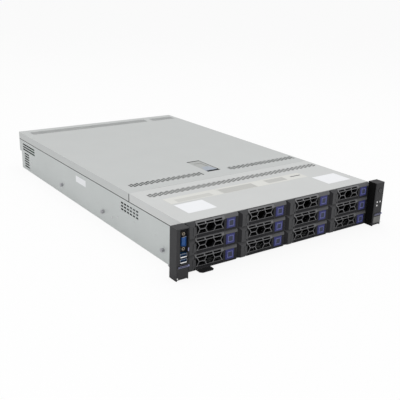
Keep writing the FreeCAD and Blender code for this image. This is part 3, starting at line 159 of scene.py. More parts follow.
def finish(name, colour, roughness, metallic=0.0, drift=0.06, grain=900.0, bump=0.04, coat=0.0,
           wear=None, shine=0.5):
    """Procedural material: drifting colour, uneven roughness, a fine bump and rubbed edges."""
    material = bpy.data.materials.new(name)
    material.use_nodes = True
    tree = material.node_tree
    place = add(tree, "ShaderNodeTexCoord")["Object"]

    def noise(scale, detail):
        return add(tree, "ShaderNodeTexNoise", {"Vector": place, "Scale": scale,
                                                "Detail": detail})["Fac"]

    def tone(share):
        return *[min(c * share, 1) for c in colour], 1

    colours = add(tree, "ShaderNodeMix", {"Factor": noise(BROAD, 3.0), "A": tone(1 - drift),
                                          "B": tone(1 + drift)}, data_type="RGBA")["Result"]
    if wear:
        colours = rubbed(tree, colours, wear, noise(PATCHY, 3.0))
    fine = noise(grain, 4.0)
    uneven = add(tree, "ShaderNodeMapRange", {"Value": fine, "To Min": roughness * 0.85,
                                              "To Max": min(roughness * 1.15, 1)})["Result"]
    bumps = add(tree, "ShaderNodeBump", {"Height": fine, "Strength": bump,
                                         "Distance": BUMP_DEPTH})["Normal"]
    fill(tree, tree.nodes["Principled BSDF"], {
        "Base Color": colours, "Roughness": uneven, "Normal": bumps, "Metallic": metallic,
        "Coat Weight": coat, "Specular IOR Level": shine})
    return material


# %% The steels
COVER = finish("pale_cover_sheet", (0.59, 0.60, 0.595), 0.48, 0.25, 0.03)
REAR_COVER = finish("rear_cover_sheet_steel", (0.53, 0.545, 0.54), 0.48, 0.25, 0.03)
TRAY = finish("galvanised_tray_sheet", (0.54, 0.565, 0.56), 0.45, 0.3, 0.05)
CAGE = finish("plain_inner_sheet", (0.42, 0.43, 0.44), 0.4, 0.8)
SUPPLY = finish("supply_sheet", (0.40, 0.40, 0.42), 0.42, 0.7)
BRIGHT = finish("bright_steel", (0.66, 0.66, 0.67), 0.28, 1.0)
FINS = finish("extruded_aluminium", (0.70, 0.71, 0.73), 0.35, 1.0)
BADGE = finish("brushed_badge", (0.17, 0.17, 0.165), 0.35, 0.8, 0.3, 300.0)
GOLD = finish("gilt_posts", (0.42, 0.36, 0.28), 0.35, 0.8)
print("steels made")

# %% The plastics and papers
RUB = (0.15, 0.15, 0.155)
EAR = finish("ear_plastic", (0.018, 0.018, 0.020), 0.55, grain=1600, bump=0.12, wear=RUB,
             shine=0.4)
CARRIER = finish("carrier_plastic", (0.038, 0.038, 0.041), 0.5, grain=1600, bump=0.12, wear=RUB)
GREY_PLASTIC = finish("bezel_slope_grey", (0.095, 0.095, 0.10), 0.5, grain=1600, bump=0.1)
LEVER = finish("lever_plastic", (0.012, 0.012, 0.014), 0.5, grain=1600, bump=0.1, wear=RUB,
               shine=0.2)
# Pale grey for the lever's front faces: on the band's rims a painted highlight.
RIB_GREY_AND_RIM_HIGHLIGHT = finish("lever_rib_grey_and_rim_highlight", (0.155, 0.155, 0.160), 0.5, grain=1600, bump=0.1)
BLACK = finish("black_plastic", (0.010, 0.010, 0.011), 0.5, wear=(0.07, 0.07, 0.07))
# Painted shade: a flat black put where only shade is seen, in gaps, recesses and bores.
SHADE_BLACK = finish("shadow_black", (0.004, 0.004, 0.004), 0.8, shine=0.1)
BUTTON = finish("button_blue", (0.018, 0.021, 0.135), 0.5, grain=1600, bump=0.08,
                wear=(0.12, 0.12, 0.24))
BUTTON_PAD = finish("button_pad_grey_blue", (0.020, 0.026, 0.055), 0.55)
OUTLINE = finish("button_outline", (0.13, 0.14, 0.36), 0.45)
LILAC = finish("lilac_touch_point", (0.28, 0.29, 0.50), 0.4)
VIDEO_BLUE = finish("video_socket_blue", (0.002, 0.060, 0.23), 0.5)
TONGUE_BLUE = finish("tongue_blue", (0.008, 0.045, 0.12), 0.4)
LATCH_GREY = finish("latch_grey", (0.375, 0.385, 0.375), 0.45)
LATCH_BLUE = finish("latch_blue_grey", (0.33, 0.365, 0.42), 0.42)
PAPER = finish("white_paper", (0.80, 0.81, 0.83), 0.6, drift=0.01)
CREAM = finish("cream_film", (0.65, 0.65, 0.62), 0.5, drift=0.03)
PALE_GREY = finish("pale_grey_print", (0.47, 0.47, 0.45), 0.55, drift=0.05)
SAND = finish("sand_print", (0.55, 0.55, 0.525), 0.55, drift=0.05)
WHITE = finish("white_lens", (0.85, 0.85, 0.85), 0.3, coat=0.4)
BOARD = finish("green_board", (0.010, 0.085, 0.035), 0.4, drift=0.2, coat=0.3)
CHIP = finish("chip_black", (0.015, 0.015, 0.016), 0.45)
IVORY = finish("slot_ivory", (0.50, 0.48, 0.42), 0.5)
GREEN_LENS = finish("green_lens", (0.06, 0.34, 0.12), 0.3, coat=0.4)
print("materials:", len(bpy.data.materials))

# %% [markdown]
# ## Painting the CAD nodes
# A CAD node arrives as loose triangles. Its own mesh is left alone, but it may carry
# modifiers: Weld joins the triangles, a planar Decimate melts the flat ones together, and a
# small Bevel breaks the edges, so that they catch the light as pressed and moulded edges do.
# Where one node holds several real materials, and where a face in a gap or recess takes
# painted shade, a rule on each face's place picks the paint.


# %% Edges and paint for one node
MERGE = 0.01 * MM
FLAT = math.radians(0.5)


def soften(piece, width, segments=2):
    """Weld, melt flat triangles and break the edges."""
    weld = piece.modifiers.new("weld", "WELD")
    weld.merge_threshold = MERGE
    melt = piece.modifiers.new("melt", "DECIMATE")
    melt.decimate_type = "DISSOLVE"
    melt.angle_limit = FLAT
    melt.delimit = {"MATERIAL"}
    bevel = piece.modifiers.new("edges", "BEVEL")
    bevel.width = width * MM
    bevel.segments = segments
    bevel.limit_method = "ANGLE"
    bevel.angle_limit = math.radians(35)
    bevel.harden_normals = True


def paint(node, width, material, *rules):
    """Give a node its material, other ones where a rule on (x, y, z) holds, and soft edges."""
    piece = nodes[node]
    mesh = piece.data
    mesh.materials.clear()
    for paint_material in [material] + [rule[0] for rule in rules]:
        mesh.materials.append(paint_material)
    for face in mesh.polygons:
        x, y, z = drawing(face.center)
        hits = [i for i, rule in enumerate(rules, 1) if rule[1](x, y, z)]
        face.material_index = hits[-1] if hits else 0
    soften(piece, width)


# %% Plain nodes
stud_reach = box_mm("studs_and_screws")[1][0]
paint("chassis_tray", 0.25, TRAY)
paint("drive_cage", 0.2, CAGE)
for side in ("left", "right"):
    # Painted shade: the ears' inner faces, in the gap beside the bezels, are shade-black.
    paint(f"{side}_ear", 0.5, EAR, (SHADE_BLACK, lambda x, y, z: abs(x) < SIDE + 0.6 and y < -6))
paint("left_ear_lever", 0.4, BLACK)
paint("right_ear_lever", 0.4, BLACK)
paint("power_button", 0.3, BLACK)
paint("information_tag", 0.15, BLACK)
paint("heatsinks", 0.2, FINS)
paint("expansion_cages", 0.2, CAGE)
paint("fan_wall", 0.4, BLACK, (CAGE, lambda x, y, z: abs(x) > 169 or z < 5))
for number in (1, 2, 3):
    paint(f"fan_rotor_{number}", 0.3, CHIP)
# Painted shade: the studs' sides take the darker supply steel, only their outer ends the bright
# steel.
paint("studs_and_screws", 0.2, SUPPLY, (BRIGHT, lambda x, y, z: abs(x) > stud_reach - 0.3))
print("plain nodes painted")

# %% [markdown]
# The drive carriers hold three real materials: the moulded front, steel side rails and the
# drive's own aluminium body. They could be cut into three pieces, but rules on each face's
# place leave the CAD mesh whole. The drive's front end is painted shade-black, so the
# honeycomb looks deep. The carrier's ends beside the gaps take the darker lever plastic,
# which also stands for the shade in those gaps.

# %% Carriers, buttons and supplies
BAYS = range(1, 13)
BEZEL_BACK = 3.4
BUTTON_END = 20
SLOPE = 5.5
DRIVE_FRONT = 24
HALF_DRIVE = 50.75
INLET_SHIFT = -23
for number in BAYS:
    low, high = box_mm(f"drive_carrier_{number}")
    middle, face = (low[0] + high[0]) / 2, low[1]
    paint(f"drive_carrier_{number}", 0.3, CARRIER,
          # The darker lever plastic at the carrier's ends also stands for the shade in the gaps
          # between bays.
          (LEVER, lambda x, y, z: x > middle + BUTTON_END and y < face + 0.5),
          (LEVER, lambda x, y, z: x < low[0] + 7.9 and y > face + 0.05),
          (GREY_PLASTIC, lambda x, y, z: x > middle + BUTTON_END and y > face + 0.05
           and z > high[2] - SLOPE),
          (BLACK, lambda x, y, z: y > BEZEL_BACK - 0.2 or abs(z - high[2]) > 27.6),
          (SUPPLY, lambda x, y, z: y > BEZEL_BACK + 3),
          (FINS, lambda x, y, z: y > DRIVE_FRONT + 0.1 and abs(x - middle) < HALF_DRIVE),
          # Painted shade: the drive's front end behind the honeycomb is shade-black.
          (SHADE_BLACK, lambda x, y, z: abs(y - DRIVE_FRONT) < 0.1 and abs(x - middle) < HALF_DRIVE))
    paint(f"release_button_{number}", 0.3, BUTTON)
for number in (1, 2):
    inlet = sum(corner[0] for corner in box_mm(f"power_supply_{number}")) / 2 + INLET_SHIFT
    paint(f"power_supply_{number}", 0.3, SUPPLY,
          (BLACK, lambda x, y, z: y > REAR - 10.6 or y > REAR - 29 and abs(x - inlet) < 13.9))
    paint(f"power_supply_latch_{number}", 0.3, LILAC)
print("carriers and supplies painted")

# %% Boards and sockets
SOCKET_MIDDLE = -226.95
SOCKETS_END = -200
VIDEO_HEIGHT = 65.3
POST_REACH = 12.5
RECESS = -15
LOWER_REAR = REAR - 11
NETWORK_SOCKETS = (-26, -44, -176)
DATA_SOCKETS = (-150, -132)
REAR_VIDEO = (-92, 15.6)


def video_insert(x, y, z):
    """Blue body inside the front video socket."""
    inside = abs(x - SOCKET_MIDDLE) < 4.3 and -8.6 < z - VIDEO_HEIGHT < 7.4
    return x < SOCKETS_END and inside and y < RECESS


def posts(x, y, z):
    """The video socket's screw posts."""
    return x < SOCKETS_END and abs(abs(z - VIDEO_HEIGHT) - POST_REACH) < 2.9 and y < RECESS


def flanges(x, y, z):
    """The video socket's flange, painted black as the shade in its recess."""
    return x < SOCKETS_END and z > 50 and y > RECESS


def tongues(x, y, z):
    """Contact tongues inside the front data sockets, and the shaded sides of their shells."""
    return x < SOCKETS_END and z < 47 and y > -19.8


def rear_insides(x, y, z):
    """Dark insides of the network sockets at the rear."""
    inside = y < LOWER_REAR and 9 < z < 20.4
    return inside and min(abs(x - place) for place in NETWORK_SOCKETS) < 6.1


def rear_video(x, y, z):
    """Blue body of the rear video socket."""
    across, height = REAR_VIDEO
    return abs(x - across) < 7.7 and abs(z - height) < 3.5 and y > LOWER_REAR + 0.8


def rear_tongues(x, y, z):
    """Tongues and shaded insides of the rear data sockets."""
    inside = LOWER_REAR - 16 < y < LOWER_REAR - 0.2
    return inside and min(abs(x - place) for place in DATA_SOCKETS) < 5.8


paint("circuit_boards", 0.15, BOARD)
paint("port_sockets", 0.15, BRIGHT, (BLACK, flanges), (VIDEO_BLUE, video_insert), (GOLD, posts),
      (TONGUE_BLUE, tongues), (BLACK, rear_insides), (VIDEO_BLUE, rear_video),
      (TONGUE_BLUE, rear_tongues))
print("boards and sockets painted")

# %% [markdown]
# ## Mesh helpers
# Most of the new pieces are small blocks, plates and extruded outlines. They are written
# straight into a bmesh in metres, and every finished object stays at the origin.


# %% Blocks, outlines and finished pieces
def block(bm, low, high, chamfer=0.0):
    """Block between two drawing corners, with chamfered edges."""
    a, b = at(*low), at(*high)
    size = b - a
    made = bmesh.ops.create_cube(bm, size=1.0)["verts"]
    bmesh.ops.scale(bm, vec=size, verts=made)
    bmesh.ops.translate(bm, vec=(a + b) / 2, verts=made)
    if chamfer:
        edges = list({e for v in made for e in v.link_edges})
        bmesh.ops.bevel(bm, geom=edges, offset=chamfer * MM, segments=2, affect="EDGES",
                        profile=0.5, clamp_overlap=True)


def extruded(bm, outline, y0, y1):
    """Closed (x, z) outline pulled from one depth to another."""
    start = [bm.verts.new(at(x, y0, z)) for x, z in outline]
    end = [bm.verts.new(at(x, y1, z)) for x, z in outline]
    count = len(outline)
    bm.faces.new(start)
    bm.faces.new(list(reversed(end)))
    for i in range(count):
        j = (i + 1) % count
        bm.faces.new([start[i], end[i], end[j], start[j]])
    bmesh.ops.recalc_face_normals(bm, faces=bm.faces)


def placed(name, data):
    """New object in the scene."""
    made = bpy.data.objects.new(name, data)
    bpy.context.scene.collection.objects.link(made)
    return made


def piece(name, bm, material, body=None, slot=None):
    """Finished object from a bmesh, riding on a CAD body."""
    mesh = bpy.data.meshes.new(name)
    bm.to_mesh(mesh)
    bm.free()
    mesh.materials.append(material)
    made = placed(name, mesh)
    if body:
        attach(made, body)
    return made


# %% [markdown]
# ## Perforated covers
# Air enters through strips cut out of a honeycomb: columns of two and three small hexagonal
# holes by turns in front, of five and six at the rear. Such a strip follows a rule, so
# Geometry Nodes make it: a line of points, a test for odd and even, and a shorter or a longer
# column on each. The result is a set of cutters, and a Boolean takes them out of the sheet.


# %% Start and end of a geometry tree
SOCKET_KINDS = {int: "NodeSocketInt", float: "NodeSocketFloat", type(None): "NodeSocketObject"}


def new_tree(name, sizes):
    """Geometry tree with inputs for its sizes, a material input and a mesh in and out."""
    tree = bpy.data.node_groups.new(name, "GeometryNodeTree")
    face = tree.interface
    face.new_socket("Geometry", in_out="INPUT", socket_type="NodeSocketGeometry")
    for label, value in sizes.items():
        socket = face.new_socket(label, in_out="INPUT", socket_type=SOCKET_KINDS[type(value)])
        socket.default_value = value
    face.new_socket("Material", in_out="INPUT", socket_type="NodeSocketMaterial")
    face.new_socket("Geometry", in_out="OUTPUT", socket_type="NodeSocketGeometry")
    return tree, tree.nodes.new("NodeGroupInput").outputs, tree.nodes.new("NodeGroupOutput")


def vector(tree, x=0.0, y=0.0, z=0.0):
    """Combined vector."""
    return add(tree, "ShaderNodeCombineXYZ", {"X": x, "Y": y, "Z": z})[0]


def on_points(tree, mesh, shape, **more):
    """A shape put on every point of a mesh."""
    points = add(tree, "GeometryNodeMeshToPoints", {"Mesh": mesh})[0]
    return add(tree, "GeometryNodeInstanceOnPoints", {"Points": points, "Instance": shape,
                                                      **more})[0]


def close_tree(tree, geometry, given, result):
    """End a tree in real geometry with its material."""
    real = add(tree, "GeometryNodeRealizeInstances", {"Geometry": geometry})[0]
    last = add(tree, "GeometryNodeSetMaterial", {"Geometry": real, "Material": given["Material"]})
    fill(tree, result, {"Geometry": last[0]})


# %% Run a tree and keep its plain mesh
def keep_plain(target):
    """Turn what the modifiers make into the object's own mesh."""
    graph = bpy.context.evaluated_depsgraph_get()
    target.data = bpy.data.meshes.new_from_object(target.evaluated_get(graph))
    target.modifiers.clear()


def grown(name, tree, material, points=((0, 0, 0),), faces=(), **values):
    """Plain object made by a tree, from points or faces where it needs some."""
    mesh = bpy.data.meshes.new(name)
    mesh.from_pydata([tuple(p) for p in points], [], faces)
    made = placed(name, mesh)
    modifier = made.modifiers.new("tree", "NODES")
    modifier.node_group = tree
    values["material"] = material
    for item in tree.interface.items_tree:
        if item.in_out == "INPUT" and item.name.lower() in values:
            modifier[item.identifier] = values[item.name.lower()]
    keep_plain(made)
    return made


# %% A tree that repeats one pattern object
def repeat_tree():
    """Copies of a pattern object on every given point."""
    tree, given, result = new_tree("repeated_pattern", {"Pattern": None})
    shape = add(tree, "GeometryNodeObjectInfo", {"Object": given["Pattern"]})["Geometry"]
    close_tree(tree, on_points(tree, given["Geometry"], shape), given, result)
    return tree


REPEAT = repeat_tree()
print("tree:", REPEAT.name)


def repeated(name, pattern, places, material, body):
    """One piece of pattern copies at drawing places; the pattern itself is used up."""
    shape = piece(name + "_pattern", pattern, material)
    made = grown(name, REPEAT, material, [at(*p) for p in places], pattern=shape)
    bpy.data.objects.remove(shape)
    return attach(made, body)


def circle(radius, steps):
    """Points round a circle at the origin."""
    turns = [2 * math.pi * i / steps for i in range(steps)]
    return [(radius * math.cos(t), radius * math.sin(t)) for t in turns]


def small_block(size, chamfer):
    """Pattern block with chamfered edges, standing on the origin."""
    bm = bmesh.new()
    made = bmesh.ops.create_cube(bm, size=1.0)["verts"]
    bmesh.ops.scale(bm, vec=[v * MM for v in size], verts=made)
    bmesh.ops.translate(bm, vec=(0, 0, size[2] * MM / 2), verts=made)
    bmesh.ops.bevel(bm, geom=list(bm.edges), offset=chamfer * MM, segments=1, affect="EDGES")
    return bm


def small_can(radius, height, sides=14):
    """Pattern can with a pressed-in top, standing on the origin."""
    bm = bmesh.new()
    outline = ((radius, 0), (radius, height * 0.93), (radius * 0.9, height),
               (radius * 0.75, height), (radius * 0.7, height * 0.96))
    rings = [[bm.verts.new((x * MM, y * MM, z * MM)) for x, y in circle(r, sides)]
             for r, z in outline]
    for low, high in zip(rings, rings[1:]):
        for i in range(sides):
            j = (i + 1) % sides
            bm.faces.new([low[i], low[j], high[j], high[i]])
    bm.faces.new(rings[-1])
    bm.faces.new(list(reversed(rings[0])))
    return bm


# %% The honeycomb strip's tree
def centred_line(tree, count, gap, along):
    """Points in a line about the origin; along turns a length into a vector."""
    reach = maths(tree, "MULTIPLY", maths(tree, "SUBTRACT", count, 1.0), -0.5)
    return add(tree, "GeometryNodeMeshLine", {
        "Count": count, "Start Location": along(maths(tree, "MULTIPLY", reach, gap)),
        "Offset": along(gap)})[0]


def hexagon_column(tree, count, cell, prism):
    """Hexagonal prisms side by side along y, centred."""
    return on_points(tree, centred_line(tree, count, cell, lambda y: vector(tree, y=y)), prism)


def honeycomb_tree():
    """Columns of some and one more hexagons by turns, along x, each a short prism along z."""
    tree, given, result = new_tree("honeycomb_strip", {"Columns": 9, "Rows": 2, "Cell": 0.0068,
                                                       "Rib": 0.0012, "Depth": 0.004})
    cell, rows = given["Cell"], given["Rows"]
    pitch = maths(tree, "MULTIPLY", cell, math.sqrt(3) / 2)
    line = centred_line(tree, given["Columns"], pitch, lambda x: vector(tree, x=x))
    odd = maths(tree, "MODULO", add(tree, "GeometryNodeInputIndex")[0], 2.0)
    radius = maths(tree, "DIVIDE", maths(tree, "SUBTRACT", cell, given["Rib"]), math.sqrt(3))
    prism = add(tree, "GeometryNodeMeshCylinder", {"Vertices": 6, "Radius": radius,
                                                   "Depth": given["Depth"]})[0]
    short = hexagon_column(tree, rows, cell, prism)
    long = hexagon_column(tree, maths(tree, "ADD", rows, 1.0), cell, prism)
    both = tree.nodes.new("GeometryNodeJoinGeometry")
    for shape, chosen in ((short, maths(tree, "SUBTRACT", 1.0, odd)), (long, odd)):
        tree.links.new(on_points(tree, line, shape, Selection=chosen), both.inputs[0])
    close_tree(tree, both.outputs[0], given, result)
    return tree


HONEYCOMB = honeycomb_tree()
print("tree:", HONEYCOMB.name)

# %% Cutters, and what they cut
CUT_DEPTH = 6.0


def hexagon_cutter(columns, rows, cell, rib, place):
    """Honeycomb prisms that go through a sheet, moved to their place."""
    cutter = grown("cutter", HONEYCOMB, SHADE_BLACK, columns=columns, rows=rows, cell=cell * MM,
                   rib=rib * MM, depth=CUT_DEPTH * MM)
    cutter.data.transform(place)
    return cutter


def strip_cutter(x0, x1, y, rows, cell, rib):
    """Honeycomb cutters over a stretch of a cover."""
    columns = round((x1 - x0) / (cell * math.sqrt(3) / 2))
    return hexagon_cutter(columns, rows, cell, rib,
                          Matrix.Translation(at((x0 + x1) / 2, y, TOP)))


def cut_away(target, cutters):
    """Take cutters out of a piece and keep the plain result."""
    for cutter in cutters:
        hole = target.modifiers.new("hole", "BOOLEAN")
        hole.operation = "DIFFERENCE"
        hole.object = cutter
        hole.solver = "EXACT"
    keep_plain(target)
    for cutter in cutters:
        bpy.data.objects.remove(cutter)


def screen(name, x_range, z_range, y, cell, rib, material, body, thickness=0.5):
    """Upright plate with a honeycomb of holes, its outer face at the given depth."""
    (x0, x1), (z0, z1) = x_range, z_range
    bm = bmesh.new()
    block(bm, (x0, y - thickness, z0), (x1, y, z1), 0.08)
    plate = piece(name, bm, material, body)
    columns = int((x1 - x0 - 1.5) / (cell * math.sqrt(3) / 2))
    rows = int((z1 - z0 - 1.0) / cell) - 1
    upright = Matrix.Rotation(math.radians(90), 4, "X")
    middle = Matrix.Translation(at((x0 + x1) / 2, y, (z0 + z1) / 2))
    cut_away(plate, [hexagon_cutter(columns, rows, cell, rib, middle @ upright)])
    return plate


# %% [markdown]
# Each cover is one sheet folded down at both sides. The outline is drawn once, with a small
# outside radius at each fold, and pulled along the depth. The rear cover also has a pressed
# pocket for its latch.

# %% Folded sheet outline
SHEET = 1.0
FOLD = 1.4
SEAM = box_mm("front_cover")[0][2]


def fold_points(radius, inset, turns=5):
    """Quarter round of the right-hand fold, seen from the front, as (x, z)."""
    centre_x, centre_z = SIDE - inset - radius, TOP - inset - radius
    angles = [math.radians(90.0 * i / (turns - 1)) for i in range(turns)]
    return [(centre_x + radius * math.cos(a), centre_z + radius * math.sin(a)) for a in angles]


def cover_outline():
    """Outside of the folded sheet from right to left, and its inside back again."""
    outer = [(SIDE, SEAM)] + fold_points(FOLD, 0)
    inner = [(SIDE - SHEET, SEAM)] + fold_points(FOLD - SHEET + 0.2, SHEET)
    return (outer + [(-x, z) for x, z in reversed(outer)] + [(-x, z) for x, z in inner]
            + list(reversed(inner)))


def folded_sheet(name, y0, y1, material, body):
    """Solid folded sheet between two depths."""
    bm = bmesh.new()
    extruded(bm, cover_outline(), y0, y1)
    return piece(name, bm, material, body, "cover_steel")


print(f"sheet {SHEET} mm thick, seam at {SEAM:.1f} mm")

# %% Front cover
MIDDLE_ROWS = (2, 6.8, 1.28)
front_depths = [corner[1] for corner in box_mm("front_cover")]
front_sheet = folded_sheet("front_cover_sheet", *front_depths, COVER, "chassis")
cut_away(front_sheet, [strip_cutter(-SIDE + 19, SIDE - 6, SPLIT - 31.7, *MIDDLE_ROWS)])
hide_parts("front_cover")
print("front cover faces:", len(front_sheet.data.polygons))

# %% Painted shade under the front vents and in the seams
# Painted shade: a black sheet under the middle vent rows, so the holes look deep.
bm = bmesh.new()
block(bm, (-SIDE + 4, SPLIT - 46, TOP - 1.12), (SIDE - 4, SPLIT - 17, TOP - 1.03))
piece("drive_film", bm, CHIP, "chassis")
# Painted shadow: thin black strips in the seam along each side and at the split between the
# covers.
bm = bmesh.new()
for side in (-1, 1):
    edges = sorted((side * (SIDE - 0.6), side * (SIDE + 0.05)))
    block(bm, (edges[0], 0.5, SEAM - 1.1), (edges[1], REAR - 1, SEAM + 0.25))
    block(bm, (edges[0], SPLIT - 1.4, SEAM), (edges[1], SPLIT + 0.9, TOP - FOLD))
piece("seam_seals", bm, SHADE_BLACK, "chassis")
print("film and seals laid")

# %% Rear cover with its latch pocket
POCKET_HALF = 15.5
POCKET_FRONT, POCKET_REAR = SPLIT + 38, SPLIT + 116
POCKET_DEPTH = 7.0
REAR_ROWS = (5, 4.9, 1.3)


def latch_pocket(bm):
    """Pressed pocket: an open box with thin walls."""
    floor = TOP - POCKET_DEPTH

    def ring(margin, z):
        half, front, rear = POCKET_HALF + margin, POCKET_FRONT - margin, POCKET_REAR + margin
        corners = ((-half, front), (half, front), (half, rear), (-half, rear))
        return [bm.verts.new(at(*p, z)) for p in corners]

    lip_out, base_out = ring(SHEET, TOP - 0.05), ring(SHEET, floor - SHEET)
    lip_in, base_in = ring(0, TOP - 0.05), ring(0, floor)
    for i in range(4):
        j = (i + 1) % 4
        bm.faces.new([lip_out[i], lip_out[j], lip_in[j], lip_in[i]])
        bm.faces.new([base_out[i], base_out[j], lip_out[j], lip_out[i]])
        bm.faces.new([lip_in[i], lip_in[j], base_in[j], base_in[i]])
    bm.faces.new(list(reversed(base_out)))
    bm.faces.new(base_in)
    bmesh.ops.recalc_face_normals(bm, faces=bm.faces)


rear_sheet = folded_sheet("rear_cover_sheet", SPLIT, REAR, REAR_COVER, "rear_cover")
opening = bmesh.new()
block(opening, (-POCKET_HALF, POCKET_FRONT, TOP - 4), (POCKET_HALF, POCKET_REAR, TOP + 4))
strips = [strip_cutter(-SIDE + 19.5, -31, SPLIT + 35.5, *MIDDLE_ROWS),
          strip_cutter(33, SIDE - 6, SPLIT + 35.5, *MIDDLE_ROWS),
          strip_cutter(-SIDE + 18, SIDE - 96, REAR - 34.5, *REAR_ROWS),
          strip_cutter(SIDE - 81, SIDE - 11.5, REAR - 34.5, *REAR_ROWS)]
cut_away(rear_sheet, strips + [piece("latch_opening", opening, SHADE_BLACK)])
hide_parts("rear_cover")
pocket = bmesh.new()
latch_pocket(pocket)
# Painted shade: the pressed pocket round the latch is black.
piece("latch_pocket", pocket, BLACK, "rear_cover", "cover_steel")
print("rear cover faces:", len(rear_sheet.data.polygons))

# %% [markdown]
# The latch is a flat handle. Its body is grey, its front end, where the thumb goes, is a
# cooler blue-grey, and the gap in front of it shows the pocket, painted black as the shade
# in that gap. The solid has the right shape, so paint is all it needs.

# %% Latch handle
latch_front = box_mm("cover_latch")[0][1]
paint("cover_latch", 0.25, LATCH_GREY, (LATCH_BLUE, lambda x, y, z: y < latch_front + 26))
print(f"latch painted, its front edge at {latch_front:.1f} mm")

# %% [markdown]
# ## Eject levers
# Each lever is a moulded honeycomb: three full cells and parts of four more between two ribs,
# under a sloped band with three slots. The CAD solid gives the honeycomb and the hinge; the
# band's slots are cut here, once, and the finished mesh is copied to all twelve bays. The
# release button beside it has a raised square outline round a darker pad.


# %% One finished lever
SLOT_LENGTH, SLOT_PITCH = 15.0, 17.3


def merged_copy(node):
    """Merged copy of a CAD node's mesh, as a bmesh."""
    bm = bmesh.new()
    bm.from_mesh(nodes[node].data)
    bmesh.ops.remove_doubles(bm, verts=bm.verts, dist=MERGE)
    bmesh.ops.dissolve_limit(bm, angle_limit=FLAT, verts=bm.verts, edges=bm.edges)
    return bm


def lever_finishes(mesh, low, high):
    """Pale front faces of ribs and rims, on the band's rims a painted highlight, black elsewhere,
    and the hinge end like the bezel.
    """
    bm = bmesh.new()
    bm.from_mesh(mesh)
    left, right = low[0] + 6.9, high[0] - 1.5
    rib_edge, slope_edge = high[2] - 21.55, high[2] - SLOPE
    cuts = [((0, 0, 1), at(0, 0, rib_edge)), ((1, 0, 0), at(left, 0, 0)),
            ((1, 0, 0), at(right, 0, 0)), ((0, 0, 1), at(0, 0, slope_edge))]
    for normal, point in cuts:
        bmesh.ops.bisect_plane(bm, geom=list(bm.verts) + list(bm.edges) + list(bm.faces),
                               plane_co=point, plane_no=normal)
    bm.normal_update()
    for face in bm.faces:
        x, _, z = drawing(face.calc_center_median())
        ribbed = left < x < right and z > rib_edge or z > slope_edge
        # Only forward faces turn pale; on the band's rims this is a painted highlight.
        face.material_index = 1 if face.normal.y < -0.5 and ribbed else 0
        if x < low[0] + 5.3 and face.normal.y < -0.4:
            face.material_index = 2
    bm.to_mesh(mesh)
    bm.free()
    mesh.materials.append(RIB_GREY_AND_RIM_HIGHLIGHT)
    mesh.materials.append(CARRIER)


def slotted_lever():
    """The first lever with three long slots, its finishes and soft edges."""
    low, high = box_mm("eject_lever_1")
    lever = piece("lever_pattern", merged_copy("eject_lever_1"), LEVER)
    bm = bmesh.new()
    for i in range(3):
        middle = high[0] - 5.6 - SLOT_LENGTH / 2 - i * SLOT_PITCH
        block(bm, (middle - SLOT_LENGTH / 2, low[1] - 1, high[2] - 5.15),
              (middle + SLOT_LENGTH / 2, high[1] + 3, high[2] - 2.6))
    cut_away(lever, [piece("slots", bm, LEVER)])
    lever_finishes(lever.data, low, high)
    soften(lever, 0.3)
    keep_plain(lever)
    return lever


pattern = slotted_lever()
first_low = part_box("eject_lever_1")[0]
for number in BAYS:
    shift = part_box(f"eject_lever_{number}")[0] - first_low
    mesh = pattern.data.copy()
    mesh.transform(Matrix.Translation(shift))
    lever = placed(f"honeycomb_lever_{number}", mesh)
    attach(lever, f"eject_lever_{number}")
    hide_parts(f"eject_lever_{number}")
bpy.data.objects.remove(pattern)
print("levers: 12")


# %% Square outline on each release button
def flat_ring(bm, x, z, outer, inner, y0, y1):
    """Raised ring on an upright face, between two outlines about its middle."""
    rings = [[bm.verts.new(at(x + u, y, z + v)) for u, v in ring]
             for y in (y0, y1) for ring in (outer, inner)]
    front_out, front_in, back_out, back_in = rings
    for i in range(len(outer)):
        j = (i + 1) % len(outer)
        bm.faces.new([front_out[i], front_out[j], front_in[j], front_in[i]])
        bm.faces.new([front_out[j], front_out[i], back_out[i], back_out[j]])
        bm.faces.new([front_in[i], front_in[j], back_in[j], back_in[i]])
        bm.faces.new([back_out[i], back_in[i], back_in[j], back_out[j]])
    bmesh.ops.recalc_face_normals(bm, faces=bm.faces)


def square(half):
    """Corners of a square about the origin."""
    return [(-half, -half), (half, -half), (half, half), (-half, half)]


RING_HALF, PAD_HALF = 5.6, 4.4
for number in BAYS:
    low, high = box_mm(f"release_button_{number}")
    x, z = (low[0] + high[0]) / 2, (low[2] + high[2]) / 2
    bm = bmesh.new()
    flat_ring(bm, x, z, square(RING_HALF), square(RING_HALF - 1.1), low[1] - 0.4, low[1] + 0.2)
    piece(f"button_outline_{number}", bm, OUTLINE, f"release_button_{number}", "button_plastic")
    bm = bmesh.new()
    block(bm, (x - PAD_HALF, low[1] - 0.1, z - PAD_HALF),
          (x + PAD_HALF, low[1] + 0.2, z + PAD_HALF), 0.08)
    piece(f"button_pad_{number}", bm, BUTTON_PAD, f"release_button_{number}", "button_plastic")
print("button outlines: 12")


# %% [markdown]
# ## Bare labels
# The covers carry film and paper labels. Here they are left bare. They could be painted on,
# but as thin plates with softened edges they keep their own finish, a hair above the sheet.


# %% Labels on the covers and the side
def label(name, x0, x1, y0, y1, material, lift=0.15):
    """Thin plate lying on the front cover."""
    bm = bmesh.new()
    block(bm, (x0, y0, TOP - 0.05), (x1, y1, TOP + lift), 0.05)
    return piece(name, bm, material, "chassis")


